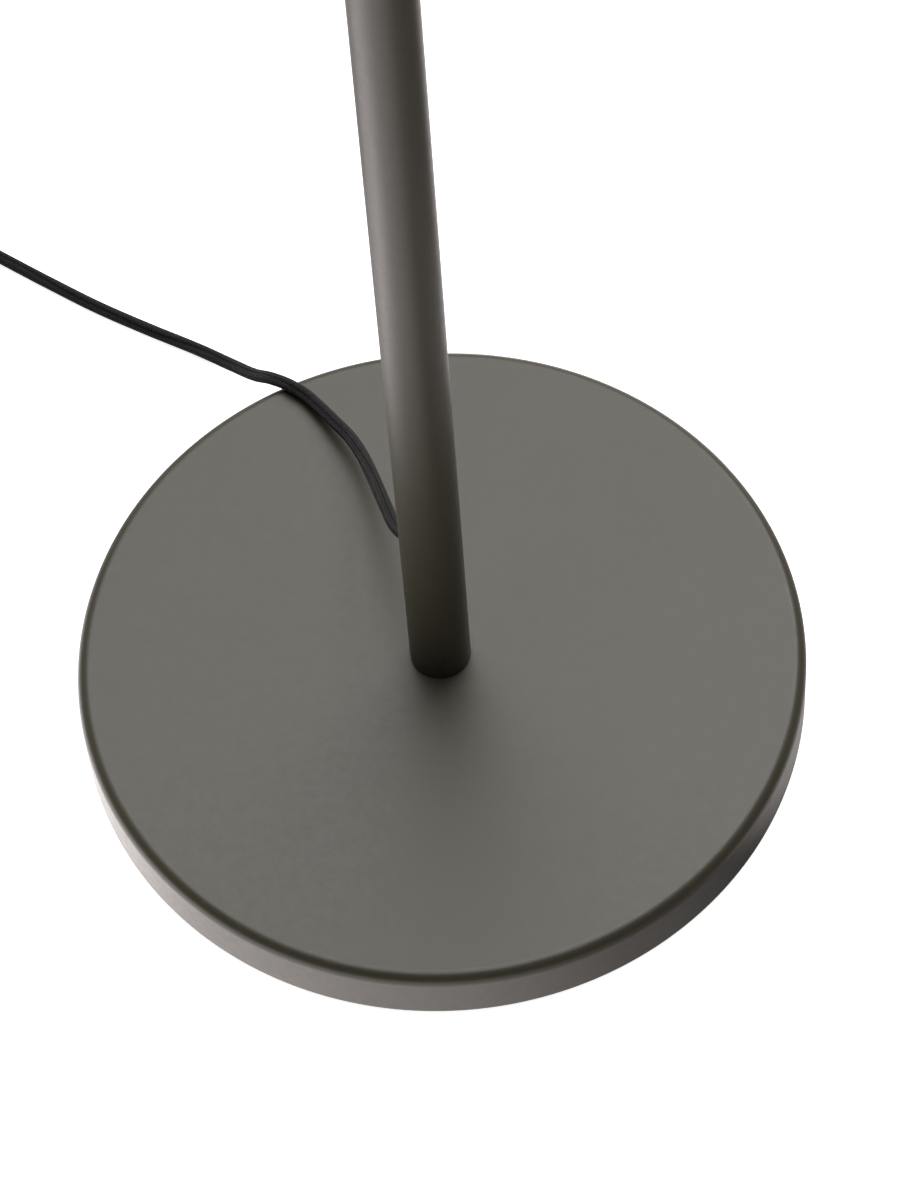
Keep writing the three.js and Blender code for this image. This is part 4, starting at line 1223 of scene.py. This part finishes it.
class FLOORLAMP_OT_outlet(bpy.types.Operator):
    """Builds the ribbed strain relief at the back of the pole and the screw of the lead's anchor"""

    bl_idname = "floor_lamp.outlet"
    bl_label = "Lead outlet"

    def execute(self, context):
        bore, sleeve, tip = 3.05, 4.1, 3.32
        lip, front, back = 5.35, -3.93, -5.3
        taper = [(sleeve + (tip - sleeve) * k / 60, 1.5 + (OUTLET_REACH - 1.7) * k / 60) for k in range(61)]
        taper = [(r, z) for r, z in taper if z < OUTLET_REACH - 0.15]
        outline = (
            rounded([(bore, back), (lip, back, 0.2), (lip, front, 0.3), (sleeve, front)])
            + taper + [(tip - 0.05, OUTLET_REACH), (bore, OUTLET_REACH)]
        )
        relief = turned("ribbed_outlet", outline, finish("black"), 48)
        run_tree(relief, relief_tree(), {
            "Around": 0.0, "Pitch": 2.0 * MM, "Depth": 0.2 * MM, "Width": 1.5, "Low": 2.2 * MM,
            "High": 14.2 * MM, "Fade": 0.8 * MM, "Material": finish("black"),
        })
        moved(relief, outlet_place())
        put(relief, "stand", slot_of("black"), "strain_relief")

        low, high = box_mm("anchor_screw")
        screw = socket_screw("outlet_screw", 1.5, 3, low.y, high.y - 1.6, high.y, 1.15, finish("steel"))
        moved(screw, along((0, 1, 0), (0, 0, (low.z + high.z) / 2)))
        put(screw, "stand", slot_of("steel"), "anchor_screw")
        return {"FINISHED"}


def fork_field(x, y, z, sizes, pitch_edge):
    """A round fork about Z: a stem, a base disc and two ears with a cross bore and spot faces."""
    radius, slot, base, reach = sizes["radius"], sizes["slot"], sizes["base"], sizes["reach"]
    body = drum(x, y, z, radius, 0, reach + radius + 2, pitch_edge)
    body = both(body, np.hypot(x, np.maximum(z - reach, 0)) - radius, pitch_edge)
    slotted = both(np.abs(y) - slot, base - z, 1.2)
    body = both(body, -slotted, pitch_edge)
    from_pivot = np.hypot(x, z - reach)
    body = both(body, sizes["bore"] - from_pivot, 0.3)
    body = both(body, -np.maximum(from_pivot - sizes["spot_radius"], sizes["spot"] - np.abs(y)), 0.3)
    stem = drum(x, y, z, sizes["stem"], -sizes["shoulder"], 1, 0.3)
    thread = drum(x, y, z, sizes["thread"], -sizes["length"], -sizes["shoulder"] + 1, 0.6)
    body = np.minimum(body, np.minimum(stem, thread))
    return np.maximum(body, -drum(x, y, z, sizes["lead"], -sizes["length"] - 2, base + 2, 0.1))


def tilt_sizes():
    """The tilt fork's sizes in millimetres."""
    low = box_mm("swivel_yoke")[0].z
    return {
        "radius": 12.5, "slot": 7.7, "base": 7, "reach": 33.6, "bore": 4.3, "spot": 11, "spot_radius": 6,
        "stem": 6, "thread": 5, "length": PIVOTS["arm_swivel"][2] - low, "shoulder": 36, "lead": 3.1,
    }


def head_sizes():
    """The head fork's sizes in millimetres."""
    low = box_mm("head_fork")[0].x
    return {
        "radius": 10.5, "slot": 6.3, "base": 5, "reach": 26, "bore": 3.7, "spot": 9.3, "spot_radius": 4.6,
        "stem": 4, "thread": 3.8, "length": PIVOTS["head_roll"][0] - low, "shoulder": 34, "lead": 2.4,
    }


class FLOORLAMP_OT_swivel(bpy.types.Operator):
    """Builds the socket, the nylon bush, the stop screw and the cast fork on top of the pole"""

    bl_idname = "floor_lamp.swivel"
    bl_label = "Pole swivel"

    def execute(self, context):
        joints = context.scene.floor_lamp.joints
        low, high = box_mm("swivel_socket")
        inner = high.x - 1.8
        outline = rounded([
            (inner, low.z, 0.6), (inner, high.z - 4), (high.x, high.z - 4, 0.4), (high.x, high.z, 0.7),
            (8.3, high.z, 0.4), (8.3, low.z, 0.4),
        ])
        put(turned("socket_ring", outline, finish("coat")), "stand", slot_of("coat"), "swivel_socket")

        low, high = box_mm("swivel_bush")
        outline = rounded([
            (8, low.z, 0.5), (8, high.z - 1.5), (high.x, high.z - 1.5, 0.3), (high.x, high.z, 0.5),
            (6.3, high.z, 0.3), (6.3, low.z, 0.3),
        ])
        put(turned("swivel_liner", outline, finish("nylon")), "stand", slot_of("nylon"), "swivel_bush")

        low, high = box_mm("swivel_stop_screw")
        screw = socket_screw("stop_grub_screw", 1.45, 0, -high.x, 0, -low.x, 0.85, finish("steel"))
        moved(screw, along((-1, 0, 0), (0, 0, (low.z + high.z) / 2)))
        put(screw, "stand", slot_of("steel"), "swivel_stop_screw")

        sizes = tilt_sizes()
        edge = joints.cast_edge / MM
        yoke = cast(
            "cast_yoke", lambda x, y, z: fork_field(x, y, z, sizes, edge),
            (-13.5, -13.5, -sizes["length"] - 1), (13.5, 13.5, 47.5), joints.pitch / MM, finish("aluminium"),
        )
        moved(yoke, Matrix.Translation(PIVOTS["arm_swivel"]))
        put(yoke, "swivel", slot_of("aluminium"), "swivel_yoke")
        return {"FINISHED"}


def flanged_bush(bore, sleeve, flange, inside, outside, thick):
    """The outline of a top-hat bush along Z, with its flange at the low end."""
    return rounded([
        (bore, inside, 0.2), (flange, inside, 0.25), (flange, inside + thick, 0.25),
        (sleeve, inside + thick), (sleeve, outside, 0.2), (bore, outside, 0.2),
    ], 3)


class FLOORLAMP_OT_tilt_joint(bpy.types.Operator):
    """Builds the tilt joint's pair of bushes, its screw and its fluted knob"""

    bl_idname = "floor_lamp.tilt_joint"
    bl_label = "Tilt joint"

    def execute(self, context):
        joints = context.scene.floor_lamp.joints
        pivot = PIVOTS["arm_tilt"]
        bush = turned("bush", flanged_bush(3.3, 4, 9, 6.5, 10.9, 0.9), finish("nylon"), 48)
        bush.name = "tilt_liners"
        moved(bush, along((0, 1, 0)))
        run_tree(bush, copies_tree(), {"Count": 2, "Material": finish("nylon")})
        moved(bush, Matrix.Translation(pivot))
        put(bush, "swivel", slot_of("nylon"), "tilt_bush_left", "tilt_bush_right")

        screw = socket_screw("tilt_socket_screw", 3, 5.5, 3.1, 11.3, 13.8, 2.3, finish("steel"), 72)
        moved(screw, along((0, 1, 0), pivot))
        put(screw, "arm", slot_of("steel"), "tilt_screw")

        side = [(10, 14.4 + 0.4 * k) for k in range(24)]
        outline = rounded([
            (3.3, 11.3), (5.5, 11.3, 0.3), (5.5, 13.2), (10, 13.2, 0.7), *side, (10, 25.2, 1.2),
            (7.4, 25.2, 0.5), (6.8, 24.4, 0.5), (0, 24.1), (0, 20.5), (3.3, 20.5),
        ])
        knob = turned("fluted_knob", outline, finish("black"), joints.flutes * 16)
        run_tree(knob, relief_tree(), {
            "Around": float(joints.flutes), "Pitch": 1e6, "Depth": joints.flute_depth, "Width": 3.0,
            "Low": 13.6 * MM, "High": 25.0 * MM, "Fade": 1.6 * MM, "Material": finish("black"),
        })
        moved(knob, along((0, -1, 0), pivot))
        put(knob, "arm", slot_of("black"), "tilt_knob")
        return {"FINISHED"}


class FLOORLAMP_OT_arm(bpy.types.Operator):
    """Builds the arm: its cast knuckle, its tube, its grub screw and the plug at its end"""

    bl_idname = "floor_lamp.arm"
    bl_label = "Arm"

    def execute(self, context):
        scene = context.scene.floor_lamp
        edge = scene.joints.cast_edge / MM
        height = PIVOTS["arm_tilt"][2]

        def field(x, y, z):
            hub = np.hypot(x, z) - 12.2
            neck = np.maximum(drum(y, z, x, 8, 0, 24, 0.5), -x)
            body = blended(hub, neck, 3.0)
            body = both(body, -np.maximum(6.2 - np.abs(y), x - 21), edge)
            body = np.minimum(body, drum(y, z, x, 6.5, 22, 50, 0.6))
            body = both(body, 3.3 - np.hypot(x, z), 0.3)
            body = np.maximum(body, -drum(y, z, x, 2.4, 0, 54, 0.1))
            slot = np.maximum(np.maximum(np.abs(y) - 3, x - 5), z - 2.4)
            body = np.maximum(body, -slot)
            return np.maximum(body, -np.maximum(np.hypot(x - 37, y) - 2.3, z + 2.5))

        knuckle = cast("cast_knuckle", field, (-13.2, -9, -13.2), (51, 9, 13.2),
                       scene.joints.pitch / MM, finish("aluminium"))
        moved(knuckle, Matrix.Translation((0, 0, height)))
        put(knuckle, "arm", slot_of("aluminium"), "arm_knuckle")

        low, high = box_mm("arm_tube")
        radius = (high.z - low.z) / 2
        wall = scene.tubes.arm_wall / MM
        cut = scene.tubes.cut_edge / MM
        rail = tube("arm_rail", radius, radius - wall, low.x, high.x, cut, (31, 43), 72)
        moved(rail, along((1, 0, 0), (0, 0, height)))
        pierced(rail, drill(2.25, 5, 10, along((0, 0, -1), (37, 0, height)), 24))
        put(rail, "arm", slot_of("coat"), "arm_tube")

        low, high = box_mm("arm_screw")
        grub = socket_screw("arm_grub_screw", 1.95, 0, 2.8, 0, 8, 1.1, finish("steel"))
        moved(grub, along((0, 0, -1), ((low.x + high.x) / 2, 0, height)))
        put(grub, "arm", slot_of("steel"), "arm_screw")

        low, high = box_mm("arm_end_plug")
        outline = rounded([
            (6.5, low.x, 0.5), (6.5, high.x - 3), (8, high.x - 3, 0.3), (8, high.x, 0.5),
            (4.3, high.x, 0.3), (4.3, low.x, 0.3),
        ])
        end = turned("arm_end_ring", outline, finish("aluminium"), 72)
        moved(end, along((1, 0, 0), (0, 0, height)))
        put(end, "arm", slot_of("aluminium"), "arm_end_plug")
        return {"FINISHED"}


class FLOORLAMP_OT_head_joint(bpy.types.Operator):
    """Builds the small fork at the arm's end, its bushes and screws, and the lamp head's knuckle"""

    bl_idname = "floor_lamp.head_joint"
    bl_label = "Head joint"

    def execute(self, context):
        joints = context.scene.floor_lamp.joints
        edge = joints.cast_edge / MM
        pitch = joints.pitch / MM
        pivot = PIVOTS["head_tilt"]
        sizes = head_sizes()
        fork = cast(
            "cast_head_fork", lambda x, y, z: fork_field(z, y, x, sizes, edge),
            (-sizes["length"] - 1, -11.5, -11.5), (37.5, 11.5, 11.5), pitch, finish("aluminium"),
        )
        moved(fork, Matrix.Translation(PIVOTS["head_roll"]))
        put(fork, "head_swivel", slot_of("aluminium"), "head_fork")

        bush = turned("head_liners", flanged_bush(2.7, 3.4, 7.5, 5.3, 9.2, 0.7), finish("nylon"), 48)
        moved(bush, along((0, 1, 0)))
        run_tree(bush, copies_tree(), {"Count": 2, "Material": finish("nylon")})
        moved(bush, Matrix.Translation(pivot))
        put(bush, "head_swivel", slot_of("nylon"), "head_bush_left", "head_bush_right")

        screws = socket_screw("head_socket_screws", 2.4, 4.2, 2.4, 9.6, 11.6, 1.75, finish("steel"))
        moved(screws, along((0, 1, 0)))
        run_tree(screws, copies_tree(), {"Count": 2, "Material": finish("steel")})
        moved(screws, Matrix.Translation(pivot))
        put(screws, "head", slot_of("steel"), "head_screw_left", "head_screw_right")

        bottom = box_mm("head_knuckle")[0].z - pivot[2]

        def field(x, y, z):
            hub = np.hypot(x, z) - 10.2
            neck = np.hypot(x, y) - 5
            neck = np.maximum(neck, z + 2)
            body = blended(hub, neck, 4.0)
            body = both(body, -np.maximum(5 - np.abs(y), -12 - z), edge)
            flange = drum(x, y, z, 9, -40, -37, 0.7)
            body = both(body, -40 - z, 0.3)
            body = blended(body, flange, 1.5)
            body = np.minimum(body, drum(x, y, z, 4.8, bottom, -38, 0.4))
            body = both(body, 2.7 - np.hypot(x, z), 0.3)
            body = np.maximum(body, -drum(x, y, z, 2.4, bottom - 4, 0, 0.1))
            slot = np.maximum(np.maximum(np.abs(y) - 2.3, x - 2.4), -4 - z)
            return np.maximum(body, -slot)

        knuckle = cast("cast_head_knuckle", field, (-11.2, -9.8, bottom - 1), (11.2, 9.8, 11.2),
                       pitch, finish("aluminium"))
        moved(knuckle, Matrix.Translation(pivot))
        put(knuckle, "head", slot_of("aluminium"), "head_knuckle")
        return {"FINISHED"}


class FLOORLAMP_OT_cup(bpy.types.Operator):
    """Builds the cup over the lamp holder, with the push switch in its top"""

    bl_idname = "floor_lamp.cup"
    bl_label = "Cup and switch"

    def execute(self, context):
        low, high = box_mm("head_cup")
        centre = ((low.x + high.x) / 2, 0, 0)
        radius = (high.x - low.x) / 2
        outline = rounded([
            (radius, low.z, 0.5), (radius, high.z, 3), (5.1, high.z, 0.3), (5.1, high.z - 2),
            (radius - 1.5, high.z - 2, 1.5), (radius - 1.5, low.z, 0.4),
        ], 8)
        stations = [(18.6, high.z), (10.6, high.z)]
        flat = next(i for i, p in enumerate(outline) if p[0] < 10 and abs(p[1] - high.z) < 0.01)
        outline[flat:flat] = stations
        cup = turned("switch_cup", outline, finish("coat"), 128)
        moved(cup, Matrix.Translation(centre))
        bezel_low, bezel_high = box_mm("switch_bezel")
        switch = (bezel_low + bezel_high) / 2
        pierced(cup, drill(3.7, high.z - 3, high.z + 2, Matrix.Translation((switch.x, 0, 0)), 48))
        put(cup, "head", slot_of("aluminium"), "head_cup")

        outline = rounded([
            (5.6, bezel_low.z, 0.2), (5.6, bezel_high.z, 0.6), (3.7, bezel_high.z, 0.3), (3.7, bezel_low.z),
        ], 6)
        ring = turned("switch_ring", outline, finish("steel"), 72)
        moved(ring, Matrix.Translation((switch.x, 0, 0)))
        put(ring, "head", slot_of("steel"), "switch_bezel")

        low, high = box_mm("switch_button")
        outline = rounded([
            (0, low.z), (2, low.z, 0.2), (2, high.z - 6), (3.4, high.z - 6, 0.2), (3.4, high.z, 0.5),
            (2.5, high.z, 0.5), (1.2, high.z - 0.45, 0.8), (0, high.z - 0.5),
        ], 6)
        button = turned("push_button", outline, finish("black"), 64)
        moved(button, Matrix.Translation(((low.x + high.x) / 2, 0, 0)))
        put(button, "switch", slot_of("black"), "switch_button")
        return {"FINISHED"}


def dome(shoulder, mouth, low, high, inset, first=0.0, steps=40):
    """The shade's quarter ellipse from its mouth up to its shoulder, set in by the inset."""
    points = []
    for k in range(steps + 1):
        angle = first + (math.pi / 2 - first) * k / steps
        points.append((
            shoulder + (mouth - shoulder - inset) * math.cos(angle),
            low + (high - low - inset) * math.sin(angle),
        ))
    return points


class FLOORLAMP_OT_shade(bpy.types.Operator):
    """Builds the spun shade with its rolled mouth, its white enamel and the ribbed ring that holds it"""

    bl_idname = "floor_lamp.shade"
    bl_label = "Shade"

    def execute(self, context):
        settings = context.scene.floor_lamp.head
        low, high = box_mm("shade")
        axis = Matrix.Translation(((low.x + high.x) / 2, 0, 0))
        mouth = (high.x - low.x) / 2
        shoulder, wall, bead = settings.shoulder / MM, settings.shade_wall / MM, settings.bead / MM
        coat = 0.62 * wall
        bore = 18.85
        outer = dome(shoulder, mouth, low.z, high.z, 0, 0.02)
        inner = dome(shoulder, mouth, low.z, high.z, coat, 0.05)
        lip = []
        for k in range(1, 15):
            angle = -math.pi * 1.15 * k / 15
            lip.append((mouth - bead + bead * math.cos(angle), low.z + bead + bead * math.sin(angle)))
        outline = (
            outer + [(bore, high.z), (bore, high.z - coat)] + inner[::-1][:-1]
            + lip[::-1]
        )
        shell = moved(turned("spun_shade", outline, finish("coat"), 192), axis)
        put(shell, "head", slot_of("aluminium"), "shade")

        behind = dome(shoulder, mouth, low.z, high.z, coat + 0.02, 0.05)
        face = dome(shoulder, mouth, low.z, high.z, wall, 0.05)
        outline = behind + [(bore, high.z - coat - 0.02), (bore, high.z - wall)] + face[::-1]
        lining = moved(turned("enamel_lining", outline, finish("enamel"), 192), axis)
        put(lining, "head", slot_of("enamel"))

        low, high = box_mm("shade_ring")
        radius = (high.x - low.x) / 2
        side = [(radius, low.z + 1 + 0.2 * k) for k in range(17)]
        outline = rounded([
            (bore, low.z, 0.3), (radius, low.z, 0.5), *side, (radius, high.z, 0.5), (bore, high.z, 0.3),
        ])
        ring = turned("ribbed_ring", outline, finish("black"), settings.ribs * 10)
        run_tree(ring, relief_tree(), {
            "Around": float(settings.ribs), "Pitch": 1e6, "Depth": 0.7 * MM, "Width": 1.5,
            "Low": low.z * MM, "High": high.z * MM, "Fade": 0.8 * MM, "Material": finish("black"),
        })
        moved(ring, axis)
        put(ring, "head", slot_of("black"), "shade_ring")
        return {"FINISHED"}


class FLOORLAMP_OT_lamp(bpy.types.Operator):
    """Builds the lamp holder and the bulb: its threaded cap and its opal globe"""

    bl_idname = "floor_lamp.lamp"
    bl_label = "Lamp holder and bulb"

    def execute(self, context):
        low, high = box_mm("lamp_holder")
        axis = Matrix.Translation(((low.x + high.x) / 2, 0, 0))
        flange = low.z + 17
        skirt = [(18.5, low.z + 1 + 0.3 * k) for k in range(50)]
        outline = rounded([
            (13.7, low.z, 0.4), (18.5, low.z, 0.4), *skirt, (18.5, flange), (21.2, flange, 0.3),
            (21.2, flange + 3, 0.5), (18.5, flange + 3, 0.3), (18.5, high.z, 2.5), (5.1, high.z, 0.3),
            (5.1, high.z - 8), (13.7, high.z - 8, 0.5),
        ])
        holder = turned("moulded_holder", outline, finish("black"), 96)
        run_tree(holder, relief_tree(), {
            "Around": 1.0, "Pitch": 2.5 * MM, "Depth": 0.5 * MM, "Width": 1.0, "Low": (low.z + 0.6) * MM,
            "High": (flange - 1) * MM, "Fade": 1.0 * MM, "Material": finish("black"),
        })
        moved(holder, axis)
        put(holder, "head", slot_of("black"), "lamp_holder")

        low, high = box_mm("bulb_cap")
        thread = [(13.2, low.z + 1 + 0.35 * k) for k in range(60)]
        outline = (
            [(12.2, low.z), (13.2, low.z)] + thread
            + [(13.2, high.z - 4), (9, high.z - 1.8), (4, high.z - 0.2), (0, high.z), (0, high.z - 1.5),
               (3.5, high.z - 1.5), (12.2, high.z - 5.5)]
        )
        cap = turned("threaded_cap", outline, finish("brass"), 72)
        run_tree(cap, relief_tree(), {
            "Around": 1.0, "Pitch": 3.6 * MM, "Depth": 0.7 * MM, "Width": 1.0, "Low": (low.z + 2) * MM,
            "High": (high.z - 5) * MM, "Fade": 1.5 * MM, "Material": finish("brass"),
        })
        moved(cap, axis)
        put(cap, "head", slot_of("brass"), "bulb_cap")

        low, high = box_mm("bulb_globe")
        radius, neck, wall = 22.5, 11.9, 1.1
        middle = low.z + radius
        meet = math.acos((neck + 1.2) / radius)
        outline = []
        for size, inset in ((radius, 0), (radius - wall, wall)):
            curve = []
            for k in range(49):
                angle = -math.pi / 2 + (math.pi / 2 + meet) * k / 48
                curve.append((size * math.cos(angle) if k else 0.0, middle + size * math.sin(angle)))
            foot = curve[-1]
            for k in range(1, 9):
                share = k / 8
                ease = share * (2 - share)
                curve.append((foot[0] + (neck - inset - foot[0]) * ease, foot[1] + 3.2 * share))
            curve.append((neck - inset, high.z))
            outline += curve if not inset else curve[::-1]
        globe = moved(turned("opal_bulb", outline, finish("opal"), 96), axis)
        put(globe, "head", slot_of("opal"), "bulb_globe")
        return {"FINISHED"}


class FLOORLAMP_OT_inner_pieces(bpy.types.Operator):
    """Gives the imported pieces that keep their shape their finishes"""

    bl_idname = "floor_lamp.inner_pieces"
    bl_label = "Inner pieces"

    kept = {
        "iron": ["ballast_plate"],
        "foam": ["floor_pad"],
        "steel": [
            "base_washer", "base_bolt", "pole_foot", "swivel_spring_washer", "swivel_stop_washer",
            "swivel_nut", "tilt_stud", "roll_spring_washer", "roll_washer", "roll_nut", "cup_nut",
        ],
        "nylon": ["cord_anchor"],
        "black": ["switch_body"],
        "brass": ["centre_contact"],
        "sheath": ["pole_lead", "arm_lead", "head_lead"],
    }

    def execute(self, context):
        for name, nodes in self.kept.items():
            for node in nodes:
                for place in frame["nodes"][node].material_slots:
                    place.material = finish(name)
        return {"FINISHED"}


class FLOORLAMP_PT_panel(bpy.types.Panel):
    """Lists the floor lamp's pieces and its stage"""

    bl_idname = "FLOORLAMP_PT_panel"
    bl_label = "Floor Lamp"
    bl_space_type = "VIEW_3D"
    bl_region_type = "UI"
    bl_category = "Floor Lamp"

    def draw(self, context):
        for operator in OPERATORS:
            self.layout.operator(operator.bl_idname)
        settings = context.scene.floor_lamp
        for group in ("base", "tubes", "joints", "head", "lead", "colours", "stage"):
            box = self.layout.box()
            box.label(text=group.capitalize())
            values = getattr(settings, group)
            for name in values.__annotations__:
                box.prop(values, name)


OPERATORS = (
    FLOORLAMP_OT_stage, FLOORLAMP_OT_lead, FLOORLAMP_OT_base, FLOORLAMP_OT_pole, FLOORLAMP_OT_outlet,
    FLOORLAMP_OT_swivel, FLOORLAMP_OT_tilt_joint, FLOORLAMP_OT_arm, FLOORLAMP_OT_head_joint,
    FLOORLAMP_OT_cup, FLOORLAMP_OT_shade, FLOORLAMP_OT_lamp, FLOORLAMP_OT_inner_pieces,
)
GROUPS = (
    BaseSettings, TubeSettings, JointSettings, HeadSettings, LeadSettings, ColourSettings, StageSettings,
    FloorLampSettings,
)


def register():
    for kind in (*GROUPS, *OPERATORS, FLOORLAMP_PT_panel):
        bpy.utils.register_class(kind)
    bpy.types.Scene.floor_lamp = PointerProperty(type=FloorLampSettings)


def unregister():
    del bpy.types.Scene.floor_lamp
    for kind in reversed((*GROUPS, *OPERATORS, FLOORLAMP_PT_panel)):
        bpy.utils.unregister_class(kind)


def main():
    register()
    for operator in OPERATORS:
        getattr(bpy.ops.floor_lamp, operator.bl_idname.split(".")[1])()


if __name__ == "__main__":
    main()
